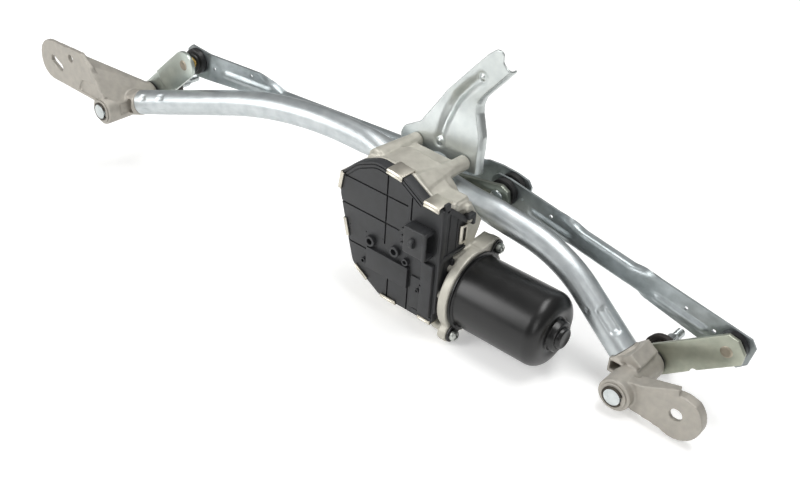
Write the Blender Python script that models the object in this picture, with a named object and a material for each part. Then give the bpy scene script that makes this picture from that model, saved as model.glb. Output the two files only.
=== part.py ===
"""Windscreen wiper linkage with its gear motor.

A bent steel tube joins two cast pivot housings.  A gear motor hangs on the tube, held by a sheet
bracket.  Its crank drives two stamped link rods through a double ball stud, and each rod turns a
lever and a wiper shaft.

Sizes are in millimetres and become metres when a mesh is made.  X runs along the motor axis, Y
along the wiper shafts away from the gear cover, Z up.  The sizes below are measured from the
centre of the right pivot's near face; ORIGIN moves the part to its mounting point.
"""
import math

import bmesh
import bpy
from mathutils import Matrix, Vector

UNIT = 0.001
GAP = 0.3
SIDES = 16
TUBE_SIDES = 12
CAN_SIDES = 20

# Frame tube
TUBE_OD = 22.0
TUBE_WALL = 1.5
TUBE_CORNERS = ((-355.0, 10.5, 95.0), (-208.6, 30.0, 85.3), (-79.7, 41.5, 60.9))
TUBE_BENDS = (115.0, 300.0, 125.0)
FLAT_AT_X = -200.0
FLAT_LENGTH = 62.0
FLAT_RUNOUT = 34.0
FLAT_HEIGHT = 14.0
SPIGOT_CLEARANCE = 0.3
SPIGOT_DEPTH = 24.0
TUBE_END_OFFSET = 24.0

# Pivots: shaft axis (x, z) and near face y
RIGHT_AXIS = (0.0, 0.0)
RIGHT_FACE = 0.0
RIGHT_TUBE_ENTRY = 34.0
LEFT_AXIS = (-510.0, 52.5)
LEFT_FACE = -58.3
LEFT_TUBE_ENTRY = 27.3
BARREL_OD = 24.0
RIGHT_BARREL = 51.5
LEFT_BARREL = 54.2
SHAFT_OD = 13.2
BUSH_WALL = 1.8
BUSH_INSET = 1.0
RUNNING_GAP = 0.1
THRUST_WASHER = 1.2
RETAINER_WASHER = 1.0
CLIP_THICKNESS = 1.0
PIN_REACH = 3.2
COLLAR_LENGTH = 7.0
SEAL_CAP_OD = 27.6
SEAL_CAP_HEIGHT = 7.0
RIGHT_CAP_AT = 67.2
LEFT_CAP_AT = 76.0
SPLINE_OD = 10.5
SPLINE_END_BEYOND_CAP = 34.0

# Pivot mounting arms, in (x, z) from their shaft axis
ARM_THICKNESS = 5.0
RIGHT_ARM_THICKNESS = 6.0
LEFT_ARM_AT = 1.0
LEFT_ARM_REACH = 72.0
LEFT_ARM_BOTTOM = 4.0
LEFT_ARM_TOP = 48.0
LEFT_SLOT = (-66.2, 23.4)
LEFT_SLOT_LENGTH = 17.0
LEFT_SLOT_WIDTH = 7.0
LEFT_SLOT_TILT = -26.0
LEFT_PEG_HOLE = (-43.0, 35.5)
LEFT_PEG_OD = 6.5
RIGHT_ARM_AT = 7.0
RIGHT_HOLE = (44.4, 4.0)
RIGHT_HOLE_OD = 9.0
RIGHT_ARM_ROUND = 19.0
RIGHT_RIB_DEPTH = 8.5

# Crank, rods and levers
OUTPUT_AXIS = (-194.0, 66.0)
CRANK_RADIUS = 43.6
CRANK_ANGLE = 11.4
CRANK_NEAR = 52.0
CRANK_THICKNESS = 4.0
CRANK_WIDTH = 23.0
RIGHT_LEVER_RADIUS = 63.4
RIGHT_LEVER_ANGLE = 37.1
LEFT_LEVER_RADIUS = 70.0
LEFT_LEVER_ANGLE = 41.2
LEVER_THICKNESS = 3.5
LEVER_HALF_WIDTH = 12.4
LEVER_END = 12.0
LEFT_LEVER_JOGGLE = 2.8
BALL_OD = 12.0
STUD_NECK_OD = 7.0
STUD_BASE_OD = 9.2
STUD_BASE = 0.8
RIVET_OD = 9.4
RIVET_HEAD = 0.6
SOCKET_OD = 24.8
SOCKET_HEIGHT = 8.0
SOCKET_MOUTH_OD = 10.6
SOCKET_PLAY = 0.25
SOCKET_HUB_OD = 15.0
SOCKET_BUTTON_OD = 19.0
RIGHT_LEVER_BALL_Y = 61.0
LEFT_LEVER_BALL_Y = 8.7
BALL_STEP = 11.5
ROD_SHEET = 2.0
ROD_END_UP = 11.5
ROD_END_DOWN = 16.5
ROD_MIDDLE_WIDTH = 14.5
RIGHT_ROD_MIDDLE_TOP = 5.0
LEFT_ROD_MIDDLE_TOP = -1.5
ROD_FLANGE = 8.0
RIGHT_ROD_FLATS = (50.0, 68.0)
LEFT_ROD_FLATS = (26.0, 66.0)
ROD_TAPER = 22.0
ROD_LEVEL_END = 15.0

# Gear housing and its cover, in (x, z), with the outline clockwise from the lower left
COVER_FRONT = -28.0
COVER_WALL = 2.2
SEAM = -19.0
LIP = 2.5
LIP_THICKNESS = 3.5
HOUSING_BACK = 13.2
HOUSING_FLOOR = 2.5
BOX_LEFT = -167.0
BOX_BOTTOM = 10.0
BOX_TOP = 95.0
BOX_BACK = -8.2
COVER_RIGHT = -143.0
OUTLINE = (
    (-197.0, -2.0, 6.0), (-226.0, 15.0, 10.0), (-232.0, 37.0, 30.0), (-241.0, 72.0, 20.0),
    (-236.0, 93.0, 16.0), (-220.0, 112.0, 16.0), (-204.0, 118.0, 10.0), (-196.0, 114.5, 3.0),
    (-178.5, 112.0, 3.0), (-161.0, 100.5, 4.0), (COVER_RIGHT, 99.5, 3.0), (COVER_RIGHT, -2.0, 3.0))
GROOVE_WIDTH = 1.4
GROOVE_DEPTH = 0.7
GROOVES = (
    ((-232.0, 90.0), (-174.0, 90.0)), ((-238.0, 66.0), (-181.0, 66.0)), ((-228.0, 34.0), (-213.0, 34.0)),
    ((-193.8, 112.0), (-193.8, 44.0)), ((-170.0, 100.0), (-170.0, 84.0)), ((-188.7, 17.0), (-188.7, 1.0)),
    ((-168.7, 19.0), (-168.7, 1.0)))
LABEL_BOX = (-209.0, -167.5, 21.4, 38.4)
LABEL_BOX_RAISE = 2.6
COVER_CUPS = ((-206.7, 44.5), (-182.2, 46.7), (-171.4, 43.2))
COVER_CUP_OD = 6.4
CONNECTOR = (-171.5, -150.5, 54.5, 78.0)
CONNECTOR_REACH = 14.0
CONNECTOR_WALL = 1.8
PIN_COUNT = 4
PIN_RECESS = 8.0
CLIP_SHEET = 0.8
CLIP_FOLD = 3.0
CLIP_END_MARGIN = 4.0
COVER_CLIPS = (
    (-238.5, 86.0, 15.0), (-187.3, 113.2, 15.0), (-151.6, 100.0, 14.5), (-237.0, 44.2, 15.0),
    (-217.0, 9.0, 15.0), (-186.8, -2.0, 15.0), (-150.3, -2.0, 12.0))
SIDE_CLIP_Z = 70.0
SIDE_CLIP_LENGTH = 16.0
BOARD_THICKNESS = 1.6

# Bosses and bracket
BOSS_OD = 12.0
BOSSES = ((-223.0, 101.2), (-176.0, 99.6))
BOSS_END = 39.7
BRIDGE_TOP = 105.0
BOLT_OD = 6.0
BOLT_HEAD_OD = 11.0
BOLT_HEAD = 4.5
BRACKET_SHEET = 2.0
BRACKET_FLANGE = 6.0
BRACKET_BEAD = 1.6
BRACKET_OUTLINE = (
    (-241.0, 94.0, 6.0), (-235.0, 109.0, 8.0), (-221.0, 117.0, 5.0), (-199.0, 152.0, 30.0),
    (-179.0, 178.0, 30.0), (-163.5, 195.0, 6.0), (-152.0, 195.0, 5.0), (-152.0, 186.0, 1.0),
    (-143.5, 181.5, 1.0), (-164.0, 156.0, 12.0), (-158.0, 124.0, 20.0), (-158.5, 92.0, 3.0),
    (-186.0, 92.0, 4.0), (-200.0, 99.0, 10.0), (-214.0, 92.0, 4.0))
BRACKET_FLANGE_PATH = ((-143.5, 181.5), (-161.8, 158.8), (-163.0, 151.0), (-158.2, 124.0), (-158.5, 94.0))
BEAD_ENDS = ((-168.5, 173.0), (-201.0, 110.0))
BEAD_HALF = 4.5

# Motor
MOTOR_AXIS = (6.2, 19.2)
CAN_OD = 59.6
CAN_WALL = 1.6
CAN_START = -131.0
CAN_LENGTH = 75.5
CAN_CORNER = 11.0
END_BOSS_OD = 25.0
END_BOSS = 4.8
END_CAP_OD = 17.0
END_CAP = 3.0
CAN_RIM = 3.0
CAN_RIM_THICKNESS = 1.6
FLANGE_THICKNESS = 8.0
FLANGE_OVERHANG = 5.2
FLANGE_OD = CAN_OD + 2 * FLANGE_OVERHANG
EAR_BEYOND_CAN = 7.7
EAR_DISTANCE = CAN_OD / 2 + EAR_BEYOND_CAN
EAR_ANGLE = 50.0
EAR_OD = 15.0
MOTOR_SCREW_OD = 5.0
MOTOR_SCREW_HEAD_OD = 9.0
MOTOR_SCREW_HEAD = 4.0
ARMATURE_SHAFT_OD = 8.0
BEARING_WALL = 3.2
WORM_PITCH_RADIUS = 7.8
WORM_TEETH_LENGTH = 40.0
SHAFT_BEYOND_WORM = 16.0
WHEEL_TEETH = 52
WHEEL_RIM = 4.0
WHEEL_HUB_OD = 22.0
TOOTH_ADDENDUM = 1.1
TOOTH_DEDENDUM = 1.5
WHEEL_WIDTH = 7.0
WORM_BARREL_WALL = 3.0
OUTPUT_SHAFT_OD = 10.0
OUTPUT_BUSH_WALL = 1.2
OUTPUT_BOSS_OD = 15.6
MAGNET_THICKNESS = 5.0
AIR_GAP = 0.9
CORE_OD = CAN_OD - 2 * (CAN_WALL + GAP + MAGNET_THICKNESS + AIR_GAP)
CORE_FROM_FLANGE = 24.0
CORE_END_ROOM = 11.5
CORE_LENGTH = CAN_LENGTH - CORE_FROM_FLANGE - CORE_END_ROOM
CORE_SLOTS = 8
CORE_SLOT_DEPTH = 7.0
COIL_END = 5.3
COMMUTATOR_OD = 20.0
COMMUTATOR_LENGTH = 13.0
BRUSH_PLATE_THICKNESS = 3.0

# The part's origin: on the right arm's near face, inboard of its bolt hole
ORIGIN = (RIGHT_HOLE[0] - 15.0, RIGHT_ARM_AT, RIGHT_HOLE[1])


def polar(centre, radius, degrees):
    """Point at a radius and angle from an (x, z) centre."""
    turn = math.radians(degrees)
    return (centre[0] + radius * math.cos(turn), centre[1] + radius * math.sin(turn))


CRANK_BALL = polar(OUTPUT_AXIS, CRANK_RADIUS, CRANK_ANGLE)
RIGHT_BALL = polar(RIGHT_AXIS, RIGHT_LEVER_RADIUS, RIGHT_LEVER_ANGLE)
LEFT_BALL = polar(LEFT_AXIS, LEFT_LEVER_RADIUS, LEFT_LEVER_ANGLE)
NEAR_BALL_Y = RIGHT_LEVER_BALL_Y
FAR_BALL_Y = NEAR_BALL_Y + BALL_STEP
SOCKET_HALF = SOCKET_HEIGHT / 2
SHAFT_R = SHAFT_OD / 2
BUSH_R = SHAFT_R + RUNNING_GAP + BUSH_WALL
CENTRE_DISTANCE = OUTPUT_AXIS[1] - MOTOR_AXIS[1]
WHEEL_PITCH_RADIUS = CENTRE_DISTANCE - WORM_PITCH_RADIUS
TOOTH_PITCH = math.tau * WHEEL_PITCH_RADIUS / WHEEL_TEETH
WHEEL_TIP_RADIUS = WHEEL_PITCH_RADIUS + TOOTH_ADDENDUM
WORM_TIP_RADIUS = WORM_PITCH_RADIUS + TOOTH_ADDENDUM
WORM_ROOT_RADIUS = WORM_PITCH_RADIUS - TOOTH_DEDENDUM
WORM_START = OUTPUT_AXIS[0] - WORM_TEETH_LENGTH / 2
WORM_END = OUTPUT_AXIS[0] + WORM_TEETH_LENGTH / 2
SHAFT_START = WORM_START - SHAFT_BEYOND_WORM


def clear_scene():
    for item in list(bpy.data.objects):
        bpy.data.objects.remove(item, do_unlink=True)


def finish(name, colour, roughness, metallic):
    """A Principled material in a linear colour."""
    material = bpy.data.materials.new(name)
    material.use_nodes = True
    shader = material.node_tree.nodes["Principled BSDF"]
    shader.inputs["Base Color"].default_value = (*colour, 1.0)
    shader.inputs["Roughness"].default_value = roughness
    shader.inputs["Metallic"].default_value = metallic
    return material


def outward(mesh):
    """Turns the faces of one closed body outward."""
    bmesh.ops.recalc_face_normals(mesh, faces=mesh.faces)
    if mesh.calc_volume(signed=True) < 0.0:
        bmesh.ops.reverse_faces(mesh, faces=mesh.faces)


def make(name, mesh, material, pivot=(0.0, 0.0, 0.0), several=False):
    """One named object from a bmesh in millimetres, with its origin at a pivot."""
    if not several:
        outward(mesh)
    bmesh.ops.translate(mesh, vec=-Vector(pivot), verts=mesh.verts)
    bmesh.ops.scale(mesh, vec=(UNIT, UNIT, UNIT), verts=mesh.verts)
    data = bpy.data.meshes.new(name)
    mesh.to_mesh(data)
    mesh.free()
    data.shade_smooth()
    data.set_sharp_from_angle(angle=math.radians(32.0))
    data.materials.append(material)
    item = bpy.data.objects.new(name, data)
    item.location = (Vector(pivot) - Vector(ORIGIN)) * UNIT
    bpy.context.scene.collection.objects.link(item)
    return item


def tool(target, mesh, operation, several=False):
    """A hidden solid that is cut from, or joined to, the target."""
    item = make(target.name + ".tool", mesh, target.data.materials[0], several=several)
    item.hide_render = True
    item.hide_viewport = False
    item.display_type = "WIRE"
    change = target.modifiers.new(operation.title(), "BOOLEAN")
    change.operation = operation
    change.object = item
    change.solver = "EXACT"
    return item


def cut(target, mesh):
    return tool(target, mesh, "DIFFERENCE")


def join(target, mesh):
    return tool(target, mesh, "UNION")


def join_all(target, meshes):
    """Joins several separate bodies to the target at once."""
    return tool(target, merged(meshes), "UNION", several=True)


def loft(sections, closed=False):
    """A solid through sections of equal point counts; closed joins the last to the first."""
    mesh = bmesh.new()
    rings = [[mesh.verts.new(point) for point in section] for section in sections]
    pairs = list(zip(rings, rings[1:]))
    if closed:
        pairs.append((rings[-1], rings[0]))
    for first, second in pairs:
        count = len(first)
        for i in range(count):
            j = (i + 1) % count
            mesh.faces.new((first[i], first[j], second[j], second[i]))
    if not closed:
        mesh.faces.new(rings[0])
        mesh.faces.new(list(reversed(rings[-1])))
    return mesh


def place(axis, along, u, v):
    """A point from a distance along an axis and two distances across it."""
    if axis == "X":
        return (along, u, v)
    if axis == "Y":
        return (u, along, v)
    return (u, v, along)


def prism(outline, low, high, axis="Y"):
    """An outline extruded along an axis."""
    return loft([[place(axis, level, u, v) for u, v in outline] for level in (low, high)])


def block(x0, x1, y0, y1, z0, z1):
    return prism(((x0, z0), (x1, z0), (x1, z1), (x0, z1)), y0, y1)


def circle(centre, radius, sides=SIDES, start=0.0):
    return [polar(centre, radius, start + 360.0 * i / sides) for i in range(sides)]


def disc(centre, radius, low, high, axis="Y", sides=SIDES):
    return prism(circle(centre, radius, sides), low, high, axis)


def clear_of(radius, sides=SIDES):
    """The corner radius of a many-sided hole whose flats clear a round of this radius."""
    return radius / math.cos(math.pi / sides)


def turned(profile, centre, axis="Y", sides=SIDES, ring=False):
    """A turned solid from (along, radius) points; ring closes the profile on itself."""
    mesh = bmesh.new()
    rows = []
    for along, radius in profile:
        if radius == 0.0:
            rows.append([mesh.verts.new(place(axis, along, *centre))])
        else:
            rows.append([mesh.verts.new(place(axis, along, u, v)) for u, v in circle(centre, radius, sides)])
    pairs = list(zip(rows, rows[1:]))
    if ring:
        pairs.append((rows[-1], rows[0]))
    for first, second in pairs:
        for i in range(sides):
            j = (i + 1) % sides
            if len(first) == 1:
                mesh.faces.new((first[0], second[j], second[i]))
            elif len(second) == 1:
                mesh.faces.new((first[i], first[j], second[0]))
            else:
                mesh.faces.new((first[i], first[j], second[j], second[i]))
    if not ring:
        for row in (rows[0], rows[-1]):
            if len(row) > 1:
                mesh.faces.new(row)
    return mesh


def washer(centre, inner, outer, low, high, axis="Y", sides=SIDES):
    profile = ((low, inner), (low, outer), (high, outer), (high, inner))
    return turned(profile, centre, axis, sides, ring=True)


def merged(meshes):
    """Several separate closed bodies in one mesh."""
    whole = bmesh.new()
    for mesh in meshes:
        data = bpy.data.meshes.new("body")
        outward(mesh)
        mesh.to_mesh(data)
        mesh.free()
        whole.from_mesh(data)
        bpy.data.meshes.remove(data)
    return whole


def hull(points):
    """The convex solid around some points."""
    mesh = bmesh.new()
    verts = [mesh.verts.new(point) for point in points]
    result = bmesh.ops.convex_hull(mesh, input=verts)
    spare = [item for item in result["geom_interior"] if isinstance(item, bmesh.types.BMVert)]
    bmesh.ops.delete(mesh, geom=spare, context="VERTS")
    return mesh


def rounded(corners, step=30.0):
    """An outline from (u, v, radius) corners, with arcs where the radius isn't zero."""
    outline = []
    count = len(corners)
    for i, (u, v, radius) in enumerate(corners):
        here = Vector((u, v))
        back = (Vector(corners[i - 1][:2]) - here).normalized()
        ahead = (Vector(corners[(i + 1) % count][:2]) - here).normalized()
        angle = back.angle(ahead)
        turn = math.pi - angle
        if radius <= 0.0 or turn < math.radians(4.0):
            outline.append((u, v))
            continue
        reach = radius / math.tan(angle / 2)
        centre = here + (back + ahead).normalized() * radius / math.sin(angle / 2)
        start = here + back * reach - centre
        end = here + ahead * reach - centre
        steps = max(1, round(math.degrees(turn) / step))
        for k in range(steps + 1):
            share = k / steps
            arm = (math.sin((1 - share) * turn) * start + math.sin(share * turn) * end) / math.sin(turn)
            outline.append(tuple(centre + arm))
    return outline


def inset(outline, amount):
    """The outline moved inward by an amount, for an outline listed clockwise in (x, z)."""
    moved = []
    count = len(outline)
    for i in range(count):
        a, b, c = (Vector(outline[(i + k) % count]) for k in (-1, 0, 1))
        first = (b - a).normalized()
        second = (c - b).normalized()
        first_in = Vector((first.y, -first.x))
        second_in = Vector((second.y, -second.x))
        middle = (first_in + second_in).normalized()
        moved.append(tuple(b + middle * amount / max(0.5, middle.dot(first_in))))
    return moved


def capsule(start, end, half, steps=6):
    """The outline of a slot with round ends."""
    start = Vector(start)
    end = Vector(end)
    heading = math.degrees(math.atan2(end.y - start.y, end.x - start.x))
    outline = [polar(end, half, heading - 90.0 + 180.0 * i / steps) for i in range(steps + 1)]
    outline += [polar(start, half, heading + 90.0 + 180.0 * i / steps) for i in range(steps + 1)]
    return outline


def rod_between(start, end, radius, sides=SIDES):
    """A cylinder between two points."""
    start = Vector(start)
    along = Vector(end) - start
    mesh = disc((0.0, 0.0), radius, 0.0, along.length, "Z", sides)
    turn = along.to_track_quat("Z", "Y").to_matrix().to_4x4()
    bmesh.ops.transform(mesh, matrix=Matrix.Translation(start) @ turn, verts=mesh.verts)
    return mesh


def tube_route():
    """The tube's centre line, straight runs joined by arcs, from the left pivot to the right."""
    left = Vector((LEFT_AXIS[0], LEFT_FACE + LEFT_TUBE_ENTRY, LEFT_AXIS[1]))
    right = Vector((RIGHT_AXIS[0], RIGHT_FACE + RIGHT_TUBE_ENTRY, RIGHT_AXIS[1]))
    corners = [Vector(corner) for corner in TUBE_CORNERS]
    first = left + (corners[0] - left).normalized() * TUBE_END_OFFSET
    last = right + (corners[-1] - right).normalized() * TUBE_END_OFFSET
    path = [first]
    whole = [left, *corners, right]
    for i, radius in enumerate(TUBE_BENDS):
        here = whole[i + 1]
        back = (whole[i] - here).normalized()
        ahead = (whole[i + 2] - here).normalized()
        angle = back.angle(ahead)
        turn = math.pi - angle
        reach = radius / math.tan(angle / 2)
        centre = here + (back + ahead).normalized() * radius / math.sin(angle / 2)
        start = here + back * reach - centre
        end = here + ahead * reach - centre
        steps = max(3, round(math.degrees(turn) / 7.0))
        for k in range(steps + 1):
            share = k / steps
            arm = (math.sin((1 - share) * turn) * start + math.sin(share * turn) * end) / math.sin(turn)
            path.append(centre + arm)
    path.append(last)
    return path


def flatness(x):
    """How far the tube is pressed flat at an x, from 0 to 1."""
    away = max(0.0, abs(x - FLAT_AT_X) - FLAT_LENGTH / 2) / FLAT_RUNOUT
    if away >= 1.0:
        return 0.0
    return 0.5 + 0.5 * math.cos(math.pi * away)


def tube_sections(path, radius):
    """Sections of the tube; where it is pressed flat its height shrinks and its width grows."""
    sections = []
    for i, point in enumerate(path):
        ahead = path[min(i + 1, len(path) - 1)]
        behind = path[max(i - 1, 0)]
        tangent = (ahead - behind).normalized()
        side = tangent.cross(Vector((0.0, 0.0, 1.0))).normalized()
        up = side.cross(tangent).normalized()
        pressed = flatness(point.x)
        wall = TUBE_OD / 2 - radius
        height = radius + (FLAT_HEIGHT / 2 - wall - radius) * pressed
        width = radius + (TUBE_OD - FLAT_HEIGHT) * 0.28 * pressed
        sections.append([point + side * math.cos(turn) * width + up * math.sin(turn) * height
                         for turn in (math.tau * (k + 0.5) / TUBE_SIDES for k in range(TUBE_SIDES))])
    return sections


def frame_tube(zinc):
    path = tube_route()
    dense = [path[0]]
    for point in path[1:]:
        pieces = max(1, round((point - dense[-1]).length / 24.0))
        start = dense[-1]
        dense += [start.lerp(point, (k + 1) / pieces) for k in range(pieces)]
    outer = tube_sections(dense, TUBE_OD / 2)
    inner = tube_sections(dense, TUBE_OD / 2 - TUBE_WALL)
    make("frame_tube", loft(outer + list(reversed(inner)), closed=True), zinc)


def pivot_axis(side):
    return (RIGHT_AXIS, RIGHT_FACE) if side == "right" else (LEFT_AXIS, LEFT_FACE)


def housing_core(side, cast, length):
    """Barrel with its bore, and the spigot that fits in the tube."""
    axis, face = pivot_axis(side)
    entry = RIGHT_TUBE_ENTRY if side == "right" else LEFT_TUBE_ENTRY
    corner = TUBE_CORNERS[-1] if side == "right" else TUBE_CORNERS[0]
    item = make(side + "_pivot_housing", disc(axis, BARREL_OD / 2, face, face + length, sides=20), cast)
    start = Vector((axis[0], face + entry, axis[1]))
    along = (Vector(corner) - start).normalized()
    spigot = (TUBE_OD / 2 - TUBE_WALL) * math.cos(math.pi / TUBE_SIDES) - SPIGOT_CLEARANCE
    join(item, rod_between(start, start + along * (TUBE_END_OFFSET + SPIGOT_DEPTH), spigot, 16))
    join(item, rod_between(start, start + along * (TUBE_END_OFFSET - GAP), TUBE_OD / 2 + 0.5, 8))
    return item, start, along


def bore(item, side, length):
    axis, face = pivot_axis(side)
    cut(item, disc(axis, BUSH_R + GAP / 3, face - 1.0, face + length + 1.0))


def left_housing(cast):
    item, start, along = housing_core("left", cast, LEFT_BARREL)
    ax, az = LEFT_AXIS
    low = LEFT_FACE + LEFT_ARM_AT
    end = -LEFT_ARM_REACH
    top = LEFT_ARM_TOP
    arm = rounded((
        (ax - 6.0, az + LEFT_ARM_BOTTOM, 0.0), (ax + end - 20.0, az + LEFT_ARM_BOTTOM, 17.0),
        (ax + end - 20.0, az + top - 8.0, 20.0), (ax - 50.0, az + top, 10.0),
        (ax - 24.0, az + top - 1.5, 3.0), (ax - 2.0, az + 30.0, 6.0), (ax + 4.0, az + 9.0, 0.0)), 20.0)
    join(item, prism(arm, low, low + ARM_THICKNESS))
    far = LEFT_FACE + LEFT_BARREL - 3.0
    join(item, hull((
        (ax - 26.0, low - 0.8, az + 41.0), (ax - 4.0, low - 0.8, az + 36.0), (ax - 2.0, low - 0.8, az + 22.0),
        (ax + 5.0, low - 0.8, az + 18.0), (ax - 23.0, low + ARM_THICKNESS, az + 44.5),
        (ax - 19.0, low + 14.0, az + 37.5), (ax - 16.0, far, az + 5.0), (ax - 8.0, far, az + 8.6),
        (ax + 6.0, far, az + 8.6), (ax - 10.0, far - 10.0, az - 2.0), (ax - 20.0, low + 10.0, az + 10.0))))
    tilt = math.radians(LEFT_SLOT_TILT)
    reach = (LEFT_SLOT_LENGTH - LEFT_SLOT_WIDTH) / 2
    middle = Vector((ax + LEFT_SLOT[0], az + LEFT_SLOT[1]))
    half = Vector((math.cos(tilt), math.sin(tilt))) * reach
    cut(item, prism(capsule(middle - half, middle + half, LEFT_SLOT_WIDTH / 2), low - 5.0, low + 20.0))
    cut(item, disc((ax + LEFT_PEG_HOLE[0], az + LEFT_PEG_HOLE[1]), LEFT_PEG_OD / 2, low - 5.0, low + 20.0,
                   sides=12))
    pocket = start + along * (TUBE_END_OFFSET - 7.5)
    cut(item, block(pocket.x - 5.5, pocket.x + 6.0, pocket.y - 16.0, pocket.y - 4.5, pocket.z - 7.0,
                    pocket.z + 7.0))
    bore(item, "left", LEFT_BARREL)


def right_housing(cast):
    item, start, along = housing_core("right", cast, RIGHT_BARREL)
    low = RIGHT_FACE + RIGHT_ARM_AT
    hx, hz = RIGHT_HOLE
    radius = RIGHT_ARM_ROUND
    arm = [(4.0, -8.0), *[polar(RIGHT_HOLE, radius, -115.0 + 23.0 * i) for i in range(8)],
           (hx + 4.0, hz + radius + 0.6), (hx - 0.6, hz + radius), (8.0, 9.0)]
    join(item, prism(arm, low, low + RIGHT_ARM_THICKNESS))
    rib = low + RIGHT_RIB_DEPTH
    join(item, hull((
        (9.0, low + 0.6, 12.0), (hx - 1.0, low + 0.6, hz + 19.0), (hx - 1.0, low + 0.6, hz + 14.5),
        (8.0, low + 0.6, 6.0), (hx - 2.0, rib, hz + 18.0), (hx - 3.0, rib, hz + 14.0), (6.0, 31.0, 9.0),
        (9.5, 31.0, 3.0))))
    cut(item, disc(RIGHT_HOLE, RIGHT_HOLE_OD / 2, low - 3.0, low + 15.0, sides=16))
    side = along.cross(Vector((0.0, 1.0, 0.0))).normalized()
    lug = start + along * 11.0 - side * 9.0
    join(item, rod_between(lug - Vector((0.0, 6.0, 0.0)), lug + Vector((0.0, 14.0, 0.0)), 6.0, 6))
    pocket = start + along * (TUBE_END_OFFSET - 8.0)
    cut(item, block(pocket.x - 6.0, pocket.x + 3.5, pocket.y - 16.0, pocket.y - 5.0, pocket.z - 5.5,
                    pocket.z + 5.0))
    bore(item, "right", RIGHT_BARREL)


def shaft_bush(side, length, bronze):
    axis, face = pivot_axis(side)
    low = face + BUSH_INSET
    high = face + length - BUSH_INSET
    make(side + "_shaft_bush", washer(axis, clear_of(SHAFT_R + RUNNING_GAP), BUSH_R, low, high), bronze)


def wiper_shaft(side, steel):
    """Shaft from the retained near end to the splined far end, with a collar under the lever."""
    axis, face = pivot_axis(side)
    lever = lever_levels(side)
    cap = face + (RIGHT_CAP_AT if side == "right" else LEFT_CAP_AT)
    groove = face - GAP - RETAINER_WASHER
    neck = SHAFT_R - 0.9
    spline = SPLINE_OD / 2
    groove_low = groove - CLIP_THICKNESS - GAP
    cap_top = cap + SEAL_CAP_HEIGHT
    end = cap + SPLINE_END_BEYOND_CAP
    profile = (
        (face - PIN_REACH, 0.0), (face - PIN_REACH, SHAFT_R - 0.8), (face - PIN_REACH + 0.7, SHAFT_R - 0.1),
        (groove_low, SHAFT_R - 0.1), (groove_low, neck), (groove, neck), (groove, SHAFT_R),
        (lever[2] + 4.0, SHAFT_R), (lever[2] + 4.5, SHAFT_R - 0.6), (cap_top + 2.0, SHAFT_R - 0.6),
        (cap_top + 3.0, spline), (end - 13.0, spline - 0.7), (end - 12.5, spline - 1.5),
        (end - 1.0, spline - 1.5), (end, spline - 2.3), (end, 0.0))
    make(side + "_wiper_shaft", turned(profile, axis), steel, (axis[0], face, axis[1]))


def shaft_trim(side, zinc, steel, rubber, nylon):
    """Washers, retaining clip and cap on one shaft."""
    axis, face = pivot_axis(side)
    pivot = (axis[0], face, axis[1])
    length = RIGHT_BARREL if side == "right" else LEFT_BARREL
    inner = SHAFT_R + GAP
    ring = washer(axis, inner, 10.2, face - GAP - RETAINER_WASHER + 0.15, face - 0.2)
    make(side + "_retainer_washer", ring, zinc, pivot)
    clip_high = face - GAP - RETAINER_WASHER - 0.15
    make(side + "_retaining_clip", retaining_clip(axis, clip_high - CLIP_THICKNESS, clip_high), steel, pivot)
    start = face + length + 0.3
    make(side + "_thrust_washer", washer(axis, inner, 11.6, start, start + THRUST_WASHER), nylon, pivot)
    cap = face + (RIGHT_CAP_AT if side == "right" else LEFT_CAP_AT)
    hole = SHAFT_R - 0.6 + GAP
    rim = SEAL_CAP_OD / 2
    profile = (
        (cap, hole), (cap - 1.5, hole), (cap - 1.5, hole + 2.0), (cap + 2.0, hole + 2.4),
        (cap + 2.0, rim - 2.4), (cap, rim - 2.0), (cap, rim), (cap + SEAL_CAP_HEIGHT - 2.0, rim - 0.6),
        (cap + SEAL_CAP_HEIGHT, rim - 3.0), (cap + SEAL_CAP_HEIGHT, hole))
    make(side + "_seal_cap", turned(profile, axis, ring=True), rubber, pivot)


def retaining_clip(axis, low, high):
    """An open ring that sits in the shaft's groove."""
    inner = SHAFT_R - 0.9 + 0.15
    outer = SHAFT_R + 1.6
    steps = 16
    angles = [25.0 + 310.0 * i / steps for i in range(steps + 1)]
    outline = [polar(axis, outer, angle) for angle in angles]
    outline += [polar(axis, inner, angle) for angle in reversed(angles)]
    return prism(outline, low, high)


def lever_levels(side):
    """Near y of the lever's outer part, near y at the hub, and far y at the hub."""
    if side == "right":
        near = RIGHT_FACE + RIGHT_BARREL + 1.5
        return near, near, near + LEVER_THICKNESS
    near = LEFT_FACE + LEFT_BARREL + 2.0
    return near - LEFT_LEVER_JOGGLE, near, near + LEVER_THICKNESS


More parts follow.
